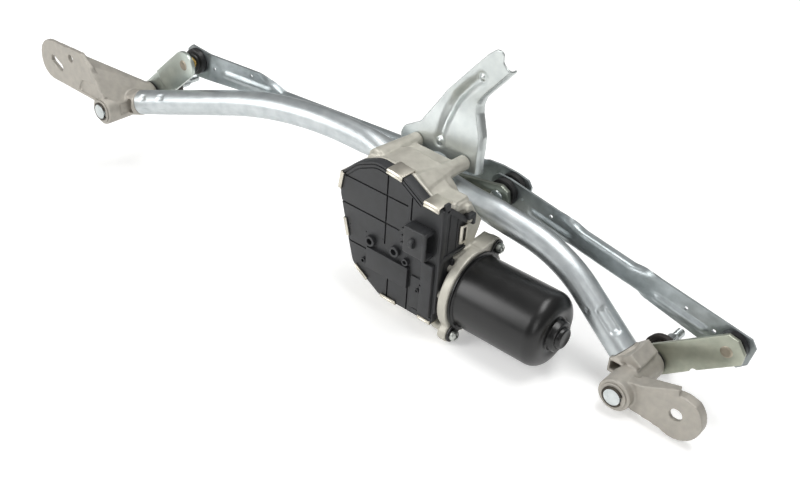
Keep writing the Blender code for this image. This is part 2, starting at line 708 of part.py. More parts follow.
def lever(side, zinc):
    """A flat lever on its shaft, with a rivet hole at the ball; the left one is joggled."""
    axis, face = pivot_axis(side)
    right = side == "right"
    radius = RIGHT_LEVER_RADIUS if right else LEFT_LEVER_RADIUS
    angle = RIGHT_LEVER_ANGLE if right else LEFT_LEVER_ANGLE
    outer, hub, hub_far = lever_levels(side)
    half = LEVER_HALF_WIDTH
    end = radius + LEVER_END
    if right:
        tip = ((end - 5.5, -half + 1.0), (end, -5.0), (end, 6.0), (end - 5.5, half))
        nick = radius * 0.49
        notch = ((nick - 3.0, -half + 0.9), (nick, -half + 3.2), (nick + 3.5, -half + 0.9))
    else:
        tip = tuple((radius + half * math.sin(math.radians(a)), -half * math.cos(math.radians(a)))
                    for a in range(0, 181, 30))
        notch = ()
    back = tuple((-half * math.sin(math.radians(a)), half * math.cos(math.radians(a)))
                 for a in range(0, 181, 30))
    outline = back + notch + tip
    bend = radius * 0.36
    heading = math.radians(angle)

    def level(along):
        share = min(1.0, max(0.0, (along - bend + 3.0) / 6.0))
        return hub + (outer - hub) * share

    def corner(along, across, add):
        x = axis[0] + along * math.cos(heading) - across * math.sin(heading)
        z = axis[1] + along * math.sin(heading) + across * math.cos(heading)
        return (x, level(along) + add, z)

    if right:
        body = loft([[corner(u, v, add) for u, v in outline] for add in (0.0, LEVER_THICKNESS)])
    else:
        rows = [(-half, 4.0), (-half * 0.7, 9.6), (0.0, half), (bend - 3.0, half), (bend + 3.0, half),
                (radius, half), (radius + half * 0.6, 9.8), (radius + half, 4.0)]
        body = loft([[corner(u, -w, 0.0), corner(u, w, 0.0), corner(u, w, LEVER_THICKNESS),
                      corner(u, -w, LEVER_THICKNESS)] for u, w in rows])
    item = make(side + "_lever", body, zinc, (axis[0], face, axis[1]))
    cut(item, disc(axis, SHAFT_R + GAP, outer - 5.0, hub_far + 5.0))
    rivet = ((outer - RIVET_HEAD, 0.0), (outer - RIVET_HEAD, RIVET_OD / 2 - 0.5), (outer + 1.0, RIVET_OD / 2),
             (outer + 1.0, 0.0))
    join(item, turned(rivet, polar(axis, radius, angle), sides=16))


def ball_arc(y, first, last, steps=4):
    """Profile points on a ball from one polar angle to another, in degrees from its near pole."""
    radius = BALL_OD / 2
    angles = (math.radians(first + (last - first) * i / steps) for i in range(steps + 1))
    return [(y - radius * math.cos(a), radius * math.sin(a)) for a in angles]


def neck_angle(reach):
    """Polar angle where the ball meets its neck, or its base when the neck has no length."""
    radius = BALL_OD / 2
    neck = math.asin(STUD_NECK_OD / 2 / radius)
    return math.degrees(max(neck, math.acos(min(1.0, reach / radius))))


def stud_start(base, y):
    """Profile of a stud from its base on a plate up to its ball."""
    neck = STUD_NECK_OD / 2
    foot = base + STUD_BASE
    profile = [(base, STUD_BASE_OD / 2), (foot, STUD_BASE_OD / 2)]
    if y - foot > BALL_OD / 2:
        profile.append((foot, neck))
    return profile


def lever_stud(side, steel, pivot):
    """The ball stud of a lever: its base stands just off the lever, where the loop is open."""
    right = side == "right"
    ball = RIGHT_BALL if right else LEFT_BALL
    y = RIGHT_LEVER_BALL_Y if right else LEFT_LEVER_BALL_Y
    base = lever_levels(side)[0] + LEVER_THICKNESS + GAP
    profile = [(base, 0.0), *stud_start(base, y)]
    profile += ball_arc(y, neck_angle(y - base - STUD_BASE), 180.0)[:-1]
    profile.append((y + BALL_OD / 2, 0.0))
    make(side + "_lever_stud", turned(profile, ball), steel, pivot)


def socket(name, ball, y, pivot, plastic, through):
    """A moulded ball cup snapped into its rod; through leaves its far side open for the stud."""
    clearance = clear_of(BALL_OD / 2 + SOCKET_PLAY)
    near = y - SOCKET_HALF
    plate = y + SOCKET_HALF
    mouth = SOCKET_MOUTH_OD / 2
    rim = SOCKET_OD / 2
    hub = SOCKET_HUB_OD / 2
    button = SOCKET_BUTTON_OD / 2
    mouth_angle = math.asin(mouth / clearance)
    top = plate + ROD_SHEET + GAP
    cavity = []
    last = math.pi - (math.asin(STUD_NECK_OD / 2 / clearance + 0.06) if through else 0.0)
    steps = 4
    for i in range(steps + 1):
        turn = mouth_angle + (last - mouth_angle) * i / steps
        cavity.append((y - clearance * math.cos(turn), clearance * math.sin(turn)))
    shell = [(near, mouth + 0.3), (near, rim - 1.2), (near + 1.2, rim), (plate - 1.4, rim),
             (plate - GAP, rim - 1.0), (plate - GAP, hub), (top, hub), (top, button)]
    if through:
        cavity[-1] = (top + 0.6, STUD_NECK_OD / 2 + 0.5)
        profile = shell + [(top + 0.6, button - 0.6)] + list(reversed(cavity))
        make(name, turned(profile, ball, ring=True), plastic, pivot)
        return
    far = top + 2.2
    profile = shell + [(far - 0.6, button), (far, button - 1.4), (far, 0.0)]
    inner = list(reversed(cavity[:-1]))
    mesh = turned([(cavity[-1][0], 0.0)] + inner + profile, ball)
    make(name, mesh, plastic, pivot)


def link_rod(name, start, start_y, end, end_y, flats, middle_top, steel, pivot):
    """A stamped rod: flat ends, and between them a channel with flanges turned away."""
    axis = (end[0] - start[0], end[1] - start[1])
    length = math.hypot(*axis)
    along = (axis[0] / length, axis[1] / length)
    up = (-along[1], along[0]) if along[0] > 0 else (along[1], -along[0])
    flat = ROD_SHEET + 0.2
    middle = (middle_top, ROD_MIDDLE_WIDTH - middle_top)
    near_end, far_end = flats
    level = ROD_LEVEL_END
    stations = [
        (-15.0, 5.0, 6.0, flat), (-11.0, 10.0, 11.0, flat), (0.0, ROD_END_UP, 13.0, flat),
        (level, ROD_END_UP, 12.6, flat), (near_end, ROD_END_UP, 12.0, flat),
        (near_end + ROD_TAPER, *middle, ROD_FLANGE), (length - far_end - ROD_TAPER, *middle, ROD_FLANGE),
        (length - far_end, ROD_END_UP, 11.0, flat), (length - level, ROD_END_UP, 14.0, flat),
        (length, ROD_END_UP, ROD_END_DOWN, flat), (length + 9.0, ROD_END_UP, ROD_END_DOWN, flat),
        (length + 14.5, 6.0, 9.0, flat)]
    sections = []
    for distance, above, below, flange in stations:
        share = min(1.0, max(0.0, (distance - level) / (length - 2 * level)))
        y = start_y + (end_y - start_y) * share
        t = ROD_SHEET
        section = ((-below, flange), (-below, 0.0), (above, 0.0), (above, flange), (above - t, flange),
                   (above - t, t), (t - below, t), (t - below, flange))
        x = start[0] + along[0] * distance
        z = start[1] + along[1] * distance
        sections.append([(x + up[0] * v, y + w, z + up[1] * v) for v, w in section])
    item = make(name, loft(sections), steel, pivot)
    for ball, level in ((start, start_y), (end, end_y)):
        cut(item, disc(ball, SOCKET_HUB_OD / 2 + GAP, level - 6.0, level + 9.0))


def crank(zinc, steel):
    """Crank arm on the output shaft, its nut and the double ball stud."""
    pivot = (OUTPUT_AXIS[0], CRANK_NEAR, OUTPUT_AXIS[1])
    heading = math.radians(CRANK_ANGLE)
    half = CRANK_WIDTH / 2
    end = CRANK_RADIUS + 11.0
    outline = [(-half * math.sin(math.radians(a)), half * math.cos(math.radians(a)))
               for a in range(0, 181, 30)]
    outline += [(end - 5.0, -half + 1.5), (end, -5.0), (end, 5.5), (end - 6.0, half - 1.5)]
    world = [(OUTPUT_AXIS[0] + u * math.cos(heading) - v * math.sin(heading),
              OUTPUT_AXIS[1] + u * math.sin(heading) + v * math.cos(heading)) for u, v in outline]
    item = make("crank_arm", prism(world, CRANK_NEAR, CRANK_NEAR + CRANK_THICKNESS), zinc, pivot)
    far = CRANK_NEAR + CRANK_THICKNESS
    shaft = OUTPUT_SHAFT_OD / 2
    cut(item, disc(OUTPUT_AXIS, shaft - 1.0 + GAP, CRANK_NEAR - 3.0, far + 3.0))
    cut(item, disc(CRANK_BALL, 4.0 + GAP, CRANK_NEAR - 3.0, far + 3.0, sides=16))
    nut = prism(circle(OUTPUT_AXIS, 7.5, 6), far + GAP, far + GAP + 6.0)
    nut_item = make("crank_nut", nut, zinc, pivot)
    cut(nut_item, disc(OUTPUT_AXIS, shaft - 1.0 + GAP, far - 3.0, far + 12.0))
    base = far + GAP
    joined = 180.0 - neck_angle(BALL_OD)
    profile = [(CRANK_NEAR - 1.0, 0.0), (CRANK_NEAR - 1.0, 5.0), (CRANK_NEAR - GAP, 5.6),
               (CRANK_NEAR - GAP, 4.0), (base, 4.0), *stud_start(base, NEAR_BALL_Y)]
    profile += ball_arc(NEAR_BALL_Y, neck_angle(NEAR_BALL_Y - base - STUD_BASE), joined)
    profile += ball_arc(FAR_BALL_Y, 180.0 - joined, 180.0)[:-1]
    profile.append((FAR_BALL_Y + BALL_OD / 2, 0.0))
    make("crank_ball_stud", turned(profile, CRANK_BALL), steel, pivot)


def output_shaft(steel, bronze, nylon):
    pivot = (OUTPUT_AXIS[0], CRANK_NEAR, OUTPUT_AXIS[1])
    radius = OUTPUT_SHAFT_OD / 2
    wheel_low = MOTOR_AXIS[0] - WHEEL_WIDTH / 2
    tip = CRANK_NEAR + CRANK_THICKNESS + GAP + 8.0
    profile = ((wheel_low - 3.0, 0.0), (wheel_low - 3.0, radius), (CRANK_NEAR - GAP, radius),
               (CRANK_NEAR - GAP, radius - 1.0), (tip - 1.0, radius - 1.0), (tip, radius - 1.8), (tip, 0.0))
    make("output_shaft", turned(profile, OUTPUT_AXIS), steel, pivot)
    bush = clear_of(radius + RUNNING_GAP)
    ring = washer(OUTPUT_AXIS, bush, bush + OUTPUT_BUSH_WALL, HOUSING_BACK + 1.0, CRANK_NEAR - 6.0)
    make("output_bush", ring, bronze)
    worm_wheel(wheel_low, radius, nylon, pivot)


def worm_wheel(low, shaft_radius, nylon, pivot):
    """A toothed wheel with a thin web; a tooth stands over the worm."""
    outline = []
    root = WHEEL_PITCH_RADIUS - TOOTH_DEDENDUM
    step = 360.0 / WHEEL_TEETH
    for i in range(WHEEL_TEETH):
        middle = -90.0 + step * i
        for share, radius in ((-0.29, root), (-0.1, WHEEL_TIP_RADIUS), (0.1, WHEEL_TIP_RADIUS), (0.29, root)):
            outline.append(polar(OUTPUT_AXIS, radius, middle + step * share))
    high = low + WHEEL_WIDTH
    wheel = make("worm_wheel", prism(outline, low, high), nylon, pivot)
    recess = (root - WHEEL_RIM, WHEEL_HUB_OD / 2)
    cut(wheel, washer(OUTPUT_AXIS, recess[1], recess[0], high - 2.0, high + 1.0, sides=24))
    cut(wheel, disc(OUTPUT_AXIS, shaft_radius + 0.2, low - 1.0, high + 1.0))


def worm_thread(start, end):
    """A single-start thread wound on the armature shaft, as a closed strip."""
    turns = (end - start) / TOOTH_PITCH
    steps = round(turns * 9)
    y, z = MOTOR_AXIS
    inner = WORM_ROOT_RADIUS - 0.6
    sections = []
    for i in range(steps + 1):
        x = start + (end - start) * i / steps
        phase = math.tau * (x - OUTPUT_AXIS[0]) / TOOTH_PITCH + math.pi + math.pi / 2
        sections.append([(x + dx, y + r * math.cos(phase), z + r * math.sin(phase))
                         for dx, r in ((-1.1, inner), (0.0, WORM_TIP_RADIUS), (1.1, inner))])
    return loft(sections)


def motor(can_paint, steel, copper, plastic, ferrite, bronze):
    """Motor can, armature with its worm, magnets, brush plate, bearings and screws."""
    y, z = MOTOR_AXIS
    radius = CAN_OD / 2
    end = CAN_START + CAN_LENGTH
    pivot = (CAN_START, y, z)
    corner = [(end - CAN_CORNER + CAN_CORNER * math.sin(a), radius - CAN_CORNER + CAN_CORNER * math.cos(a))
              for a in (math.radians(22.5 * i) for i in range(5))]
    boss = END_BOSS_OD / 2
    tip = END_CAP_OD / 2
    outer = [(CAN_START, radius + CAN_RIM), (CAN_START + CAN_RIM_THICKNESS, radius + CAN_RIM),
             (CAN_START + CAN_RIM_THICKNESS, radius)] + corner
    boss_end = end + END_BOSS
    cap_end = boss_end + END_CAP
    outer += [(end, boss + 1.5), (end + 1.0, boss), (boss_end - 1.0, boss), (boss_end, boss - 1.2),
              (boss_end, tip), (cap_end - 1.0, tip), (cap_end, tip - 1.2), (cap_end, 0.0)]
    inner = [(CAN_START, radius - CAN_WALL), (end - CAN_CORNER, radius - CAN_WALL),
             (end - CAN_WALL, radius - CAN_CORNER), (end - CAN_WALL, boss - 1.6),
             (boss_end - 1.4, boss - 2.4), (boss_end - 1.4, 0.0)]
    make("motor_can", turned(list(reversed(inner)) + outer, MOTOR_AXIS, "X", CAN_SIDES), can_paint)

    shaft = ARMATURE_SHAFT_OD / 2
    shaft_end = boss_end - 1.9
    profile = ((SHAFT_START, 0.0), (SHAFT_START, shaft - 0.8), (WORM_START - 4.0, shaft - 0.8),
               (WORM_START - 4.0, shaft), (WORM_START - 2.5, WORM_ROOT_RADIUS),
               (WORM_END + 2.5, WORM_ROOT_RADIUS), (WORM_END + 4.0, shaft), (shaft_end, shaft),
               (shaft_end, 0.0))
    item = make("armature_shaft", turned(profile, MOTOR_AXIS, "X"), steel, pivot)
    join(item, worm_thread(WORM_START, WORM_END))

    core_start = CAN_START + CORE_FROM_FLANGE
    core = []
    step = 360.0 / CORE_SLOTS
    face = CORE_OD / 2
    slot = face - CORE_SLOT_DEPTH
    for i in range(CORE_SLOTS):
        for share, r in ((-0.32, face), (0.0, face), (0.32, face), (0.36, slot), (0.64, slot)):
            core.append(polar(MOTOR_AXIS, r, step * (i + share)))
    hole = [polar(MOTOR_AXIS, shaft + 0.2, 360.0 * i / len(core) - 0.32 * step) for i in range(len(core))]
    core_end = core_start + CORE_LENGTH
    levels = ((core, core_start), (core, core_end), (hole, core_end), (hole, core_start))
    stack = loft([[(x, u, v) for u, v in ring] for ring, x in levels], closed=True)
    make("armature_core", stack, steel, pivot)
    coil = face - 1.5
    near_coil = washer(MOTOR_AXIS, shaft + 0.6, coil, core_start - COIL_END, core_start - GAP, "X")
    winding = make("armature_winding", near_coil, copper, pivot)
    join(winding, washer(MOTOR_AXIS, shaft + 0.6, coil, core_end + GAP, core_end + COIL_END, "X"))
    bars = []
    for i in range(CORE_SLOTS):
        turn = Matrix.Rotation(math.radians(step * (i + 0.5)), 2)
        corners = ((slot + 0.4, -1.2), (coil - 0.6, -1.2), (coil - 0.6, 1.2), (slot + 0.4, 1.2))
        outline = [tuple(Vector(MOTOR_AXIS) + turn @ Vector(corner)) for corner in corners]
        bars.append(prism(outline, core_start - 2.0, core_end + 2.0, "X"))
    join_all(winding, bars)
    commutator_end = core_start - COIL_END - GAP
    commutator = commutator_end - COMMUTATOR_LENGTH
    ring = washer(MOTOR_AXIS, shaft + 0.2, COMMUTATOR_OD / 2, commutator, commutator_end, "X")
    make("commutator", ring, copper, pivot)

    magnet = radius - CAN_WALL - GAP
    make("motor_magnet", washer(MOTOR_AXIS, magnet - MAGNET_THICKNESS, magnet, core_start - 3.0,
                                end - CAN_CORNER - 2.0, "X", CAN_SIDES), ferrite)

    plate = commutator + COMMUTATOR_LENGTH / 2
    low = plate - 6.5
    make("brush_plate", washer(MOTOR_AXIS, COMMUTATOR_OD / 2 + 3.5, radius - CAN_WALL - GAP, low,
                               low + BRUSH_PLATE_THICKNESS, "X", CAN_SIDES), plastic)
    reach = COMMUTATOR_OD / 2 + 0.3
    for name, sign in (("lower_brush", -1.0), ("upper_brush", 1.0)):
        low, high = sorted((z + sign * reach, z + sign * (reach + 10.0)))
        make(name, block(plate - 3.2, plate + 3.2, y - 3.5, y + 3.5, low, high), ferrite)
    bearing = clear_of(shaft + RUNNING_GAP)
    for name, low, high in (("end_bearing", end - 1.0, end + END_BOSS - 1.7),
                            ("flange_bearing", CAN_START - FLANGE_THICKNESS - 4.0, CAN_START - 2.0)):
        make(name, washer(MOTOR_AXIS, bearing, bearing + BEARING_WALL, low, high, "X"), bronze)


def ear(sign):
    angle = EAR_ANGLE if sign > 0 else EAR_ANGLE + 180.0
    return polar(MOTOR_AXIS, EAR_DISTANCE, angle)


def motor_screws(zinc):
    """Two screws through the can's ears into the gear housing's flange."""
    can = bpy.data.objects["motor_can"]
    tip = CAN_START - FLANGE_THICKNESS + 1.0
    head = CAN_START + CAN_RIM_THICKNESS + GAP
    top = head + MOTOR_SCREW_HEAD
    shank = MOTOR_SCREW_OD / 2
    rim = MOTOR_SCREW_HEAD_OD / 2
    profile = ((tip, 0.0), (tip, shank), (head, shank), (head, rim), (top - 1.0, rim), (top, rim - 1.4),
               (top, 0.0))
    for name, sign in (("upper_motor_screw", 1.0), ("lower_motor_screw", -1.0)):
        centre = ear(sign)
        make(name, turned(profile, centre, "X", 12), zinc)
        toward = Vector(centre) - Vector(MOTOR_AXIS)
        base = Vector(MOTOR_AXIS) + toward.normalized() * (CAN_OD / 2 + 1.0)
        lug = capsule(base, centre, EAR_OD / 2 - 1.0, 5)
        join(can, prism(lug, CAN_START, CAN_START + CAN_RIM_THICKNESS, "X"))
        cut(can, disc(centre, shank + GAP, CAN_START - 3.0, CAN_START + 5.0, "X", 12))


def gear_housing(cast):
    """The cast gear case: body behind the cover, worm barrel, motor flange, bosses and output boss."""
    outline = rounded(OUTLINE)
    body = inset(outline, LIP)
    low = SEAM + GAP
    item = make("gear_housing", prism(body, low + 1.0, HOUSING_BACK), cast)
    join(item, prism(outline, low, low + LIP_THICKNESS))
    side = BOX_BACK + GAP
    cut(item, block(BOX_LEFT - GAP, COVER_RIGHT + 5.0, low - 3.0, side, BOX_BOTTOM - GAP, BOX_TOP + GAP))
    join(item, block(COVER_RIGHT - LIP - 1.0, COVER_RIGHT + 1.8, side, side + 3.0, BOX_BOTTOM,
                     BOX_TOP - 14.0))
    barrel = WORM_TIP_RADIUS + WORM_BARREL_WALL + 1.3
    flange_start = CAN_START - FLANGE_THICKNESS - GAP
    join(item, disc(MOTOR_AXIS, barrel, SHAFT_START - 3.0, flange_start + 2.0, "X"))
    join(item, disc(MOTOR_AXIS, FLANGE_OD / 2, flange_start, CAN_START - GAP, "X", 20))
    for sign in (1.0, -1.0):
        lug = capsule(MOTOR_AXIS, ear(sign), EAR_OD / 2, 6)
        join(item, prism(lug, flange_start + 0.4, CAN_START - GAP - 0.2, "X"))
    join(item, disc(OUTPUT_AXIS, OUTPUT_BOSS_OD / 2, HOUSING_BACK - 2.0, CRANK_NEAR - 4.0))
    for centre in BOSSES:
        join(item, disc(centre, BOSS_OD / 2, low + 6.0, BOSS_END, sides=16))
    left, right = BOSSES
    under = BRIDGE_TOP - 8.5
    bridge = ((left[0], under), (right[0], under), (right[0], BRIDGE_TOP - 1.0), (left[0], BRIDGE_TOP))
    join(item, prism(bridge, HOUSING_BACK - 6.0, BOSS_END - 8.0))
    cut(item, disc(OUTPUT_AXIS, WHEEL_TIP_RADIUS + 1.2, low - 2.0, HOUSING_BACK - HOUSING_FLOOR, sides=28))
    tunnel = WORM_TIP_RADIUS + 1.3
    cut(item, disc(MOTOR_AXIS, tunnel, SHAFT_START - 1.0, CAN_START - FLANGE_THICKNESS + 1.0, "X"))
    cut(item, disc(MOTOR_AXIS, CAN_OD / 2 - 6.0, CAN_START - 3.0, CAN_START + 3.0, "X", 16))
    bearing = clear_of(ARMATURE_SHAFT_OD / 2 + RUNNING_GAP) + BEARING_WALL + 0.1
    cut(item, disc(MOTOR_AXIS, bearing, CAN_START - FLANGE_THICKNESS - 5.0, CAN_START + 1.0, "X", 16))
    bush = clear_of(OUTPUT_SHAFT_OD / 2 + RUNNING_GAP) + OUTPUT_BUSH_WALL + 0.1
    cut(item, disc(OUTPUT_AXIS, bush, HOUSING_BACK - 8.0, CRANK_NEAR + 1.0))
    for centre in BOSSES:
        cut(item, disc(centre, BOLT_OD / 2 + GAP, BOSS_END - 22.0, BOSS_END + 3.0, sides=12))
    for sign in (1.0, -1.0):
        cut(item, disc(ear(sign), MOTOR_SCREW_OD / 2 + GAP, flange_start - 3.0, CAN_START + 3.0, "X", 12))


def gear_cover(plastic, pins, board_green):
    """The moulded cover with its electronics box, connector, raised plate and cups."""
    outline = rounded(OUTLINE)
    item = make("gear_cover", prism(outline, COVER_FRONT, SEAM), plastic)
    join(item, block(BOX_LEFT, COVER_RIGHT - 0.4, COVER_FRONT + 1.0, BOX_BACK, BOX_BOTTOM, BOX_TOP))
    join(item, block(COVER_RIGHT - 3.0, COVER_RIGHT + 1.8, BOX_BACK - 3.0, BOX_BACK - 0.2, BOX_BOTTOM + 1.0,
                     BOX_TOP - 14.0))
    x0, x1, z0, z1 = LABEL_BOX
    raised = COVER_FRONT - LABEL_BOX_RAISE
    join(item, block(x0, x1, raised, COVER_FRONT + 1.0, z0, z1))
    join(item, block(x1 + 2.0, COVER_RIGHT - 1.0, raised - 0.8, COVER_FRONT + 1.0, 5.0, 52.0))
    for centre in COVER_CUPS:
        join(item, disc(centre, COVER_CUP_OD / 2, COVER_FRONT - 3.4, COVER_FRONT + 1.0, sides=12))
    cx0, cx1, cz0, cz1 = CONNECTOR
    front = COVER_FRONT - CONNECTOR_REACH
    join(item, block(cx0, cx1, front, COVER_FRONT + 1.0, cz0, cz1))
    wall = COVER_WALL
    cut(item, prism(inset(outline, wall), COVER_FRONT + wall, SEAM + 1.0))
    cut(item, block(BOX_LEFT + wall, COVER_RIGHT - 0.4 - wall, COVER_FRONT + wall - 0.2, BOX_BACK + 1.0,
                    BOX_BOTTOM + wall, BOX_TOP - wall))
    shell = CONNECTOR_WALL
    cut(item, block(cx0 + 5.0, cx1 + 2.0, front + shell, COVER_FRONT - shell, cz0 + shell, cz1 - shell))
    for centre in COVER_CUPS:
        cut(item, disc(centre, COVER_CUP_OD / 2 - 1.5, COVER_FRONT - 5.0, COVER_FRONT - 0.6, sides=10))
    half = GROOVE_WIDTH / 2
    for (u0, v0), (u1, v1) in GROOVES:
        cut(item, block(min(u0, u1) - half, max(u0, u1) + half, COVER_FRONT - 1.0, COVER_FRONT + GROOVE_DEPTH,
                        min(v0, v1) - half, max(v0, v1) + half))
    middle = (front + COVER_FRONT) / 2
    gap = (cz1 - cz0 - 2 * shell) / PIN_COUNT
    root = cx0 + 5.0 + GAP
    header = make("connector_pins", block(root, root + 2.0, front + shell + GAP, COVER_FRONT - shell - GAP,
                                          cz0 + shell + GAP, cz1 - shell - GAP), pins)
    blades = []
    for i in range(PIN_COUNT):
        level = cz0 + shell + gap * (i + 0.5)
        blades.append(block(root + 1.0, cx1 - PIN_RECESS, middle - 1.2, middle + 1.2, level - 0.4,
                            level + 0.4))
    join_all(header, blades)
    board = inset(outline, wall + GAP)
    board_low = COVER_FRONT + wall + GAP
    make("control_board", prism(board, board_low, board_low + BOARD_THICKNESS), board_green)


def clip_profile(outward, front, back, fold):
    """The section of a C clip in (outward, y): fold over the cover, web, and hook behind the lip."""
    t = CLIP_SHEET
    return ((outward - fold, front - t), (outward + t, front - t), (outward + t, back + t),
            (outward - 1.6, back + t), (outward - 1.6, back), (outward, back), (outward, front),
            (outward - fold, front))


def cover_clips(spring):
    """Spring clips around the seam of the cover and the gear housing."""
    outline = rounded(OUTLINE)
    front = COVER_FRONT - GAP
    back = SEAM + GAP + LIP_THICKNESS + GAP
    count = len(outline)
    for number, (x, z, length) in enumerate(COVER_CLIPS, 1):
        spot = Vector((x, z))

        def distance(i):
            a = Vector(outline[i])
            b = Vector(outline[(i + 1) % count])
            share = min(1.0, max(0.0, (spot - a).dot(b - a) / (b - a).length_squared))
            return (a.lerp(b, share) - spot).length

        nearest = min(range(count), key=distance)
        a = Vector(outline[nearest])
        b = Vector(outline[(nearest + 1) % count])
        along = (b - a).normalized()
        outward = Vector((-along.y, along.x))
        centre = a + along * (spot - a).dot(along)
        ends = []
        reach = max((Vector(p) - centre).dot(outward) for p in outline
                    if abs((Vector(p) - centre).dot(along)) < length / 2 + CLIP_END_MARGIN)
        reach = max(reach, 0.0) + GAP
        for offset in (-length / 2, length / 2):
            base = centre + along * offset
            ends.append([(base.x + outward.x * u, y, base.y + outward.y * u)
                         for u, y in clip_profile(reach, front, back, CLIP_FOLD + reach)])
        make(f"cover_clip_{number}", loft(ends), spring)
    side_out = COVER_RIGHT + 1.8 + GAP
    side_low = BOX_BACK - 3.0 - GAP
    side_high = BOX_BACK + GAP + 3.0 + GAP
    ends = (SIDE_CLIP_Z - SIDE_CLIP_LENGTH / 2, SIDE_CLIP_Z + SIDE_CLIP_LENGTH / 2)
    profile = clip_profile(side_out, side_low, side_high, 1.6)
    make(f"cover_clip_{len(COVER_CLIPS) + 1}", loft([[(u, y, z) for u, y in profile] for z in ends]), spring)


def upper_bracket(zinc):
    """The stamped bracket behind the tube, its turned flange and bead, and its two bolts."""
    near = BOSS_END + GAP
    far = near + BRACKET_SHEET
    item = make("upper_bracket", prism(rounded(BRACKET_OUTLINE), near, far), zinc)
    path = [Vector(point) for point in BRACKET_FLANGE_PATH]
    strip = []
    for i, point in enumerate(path):
        ahead = path[min(i + 1, len(path) - 1)]
        behind = path[max(i - 1, 0)]
        heading = (ahead - behind).normalized()
        inward = Vector((heading.y, -heading.x))
        strip.append([tuple(point + inward * 0.3), tuple(point + inward * 2.2)])
    sections = [[(a[0], near + 0.3, a[1]), (b[0], near + 0.3, b[1]), (b[0], far + BRACKET_FLANGE, b[1]),
                 (a[0], far + BRACKET_FLANGE, a[1])] for a, b in strip]
    join(item, loft(sections))
    join(item, prism(capsule(BEAD_ENDS[0], BEAD_ENDS[1], BEAD_HALF, 4), near - BRACKET_BEAD, near + 1.0))
    for name, centre in zip(("left_bracket_bolt", "right_bracket_bolt"), BOSSES):
        cut(item, disc(centre, BOLT_OD / 2 + GAP, near - 3.0, far + 3.0, sides=12))
        make(name, bolt(centre, far + GAP), zinc)


def bolt(centre, head):
    """A hexagon bolt pointing towards the housing, as one turned and prismatic body."""
    mesh = bmesh.new()
    shank = BOLT_OD / 2
    rim = BOLT_HEAD_OD / 2
    rings = []
    for y, radius in ((head - 20.0, shank), (head, shank), (head, rim), (head + BOLT_HEAD, rim)):
        rings.append([mesh.verts.new((u, y, v)) for u, v in circle(centre, radius, 6)])
    for first, second in zip(rings, rings[1:]):
        for i in range(6):
            j = (i + 1) % 6
            mesh.faces.new((first[i], first[j], second[j], second[i]))
    mesh.faces.new(rings[0])
    mesh.faces.new(rings[-1])
    return mesh


def build():
    clear_scene()
    zinc = finish("zinc_plate", (0.52, 0.54, 0.55), 0.36, 1.0)
    yellow_zinc = finish("yellow_zinc_plate", (0.50, 0.50, 0.38), 0.38, 1.0)
    cast = finish("cast_aluminium", (0.50, 0.49, 0.46), 0.55, 0.9)
    steel = finish("bright_steel", (0.60, 0.60, 0.60), 0.28, 1.0)
    bronze = finish("sintered_bronze", (0.42, 0.27, 0.12), 0.5, 1.0)
    plastic = finish("black_moulding", (0.05, 0.05, 0.052), 0.5, 0.0)
    rubber = finish("black_rubber", (0.03, 0.027, 0.025), 0.7, 0.0)
    nylon = finish("natural_nylon", (0.62, 0.58, 0.48), 0.45, 0.0)
    gloss = finish("black_paint", (0.012, 0.012, 0.013), 0.18, 0.0)
    copper = finish("copper", (0.72, 0.32, 0.16), 0.4, 1.0)
    ferrite = finish("ferrite", (0.07, 0.07, 0.075), 0.6, 0.0)
    spring = finish("nickel_spring", (0.66, 0.64, 0.60), 0.22, 1.0)
    green = finish("circuit_board", (0.03, 0.18, 0.07), 0.4, 0.0)

    frame_tube(zinc)
    left_housing(cast)
    right_housing(cast)
    for side, length, lever_finish in (("left", LEFT_BARREL, zinc), ("right", RIGHT_BARREL, yellow_zinc)):
        shaft_bush(side, length, bronze)
        wiper_shaft(side, steel)
        shaft_trim(side, zinc, steel, rubber, plastic)
        lever(side, lever_finish)
    rod_pivot = (CRANK_BALL[0], NEAR_BALL_Y, CRANK_BALL[1])
    for side in ("left", "right"):
        lever_stud(side, steel, rod_pivot)
    socket("crank_near_socket", CRANK_BALL, NEAR_BALL_Y, rod_pivot, plastic, True)
    socket("crank_far_socket", CRANK_BALL, FAR_BALL_Y, rod_pivot, plastic, False)
    socket("right_lever_socket", RIGHT_BALL, RIGHT_LEVER_BALL_Y, rod_pivot, plastic, False)
    socket("left_lever_socket", LEFT_BALL, LEFT_LEVER_BALL_Y, rod_pivot, plastic, False)
    link_rod("right_link_rod", CRANK_BALL, NEAR_BALL_Y + SOCKET_HALF, RIGHT_BALL,
             RIGHT_LEVER_BALL_Y + SOCKET_HALF, RIGHT_ROD_FLATS, RIGHT_ROD_MIDDLE_TOP, zinc, rod_pivot)
    link_rod("left_link_rod", CRANK_BALL, FAR_BALL_Y + SOCKET_HALF, LEFT_BALL,
             LEFT_LEVER_BALL_Y + SOCKET_HALF, LEFT_ROD_FLATS, LEFT_ROD_MIDDLE_TOP, zinc, rod_pivot)
    crank(zinc, steel)
    output_shaft(steel, bronze, nylon)
    motor(gloss, steel, copper, plastic, ferrite, bronze)
    motor_screws(zinc)
    gear_housing(cast)
    gear_cover(plastic, spring, green)
    cover_clips(spring)
    upper_bracket(zinc)


build()
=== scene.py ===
"""Looks of the wiper linkage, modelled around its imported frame.

Lengths are in millimetres from the centre of the right pivot's near face, as on the drawing, and
at() turns them into the frame's metres.
"""
import math

import bpy
from mathutils import Matrix, Vector


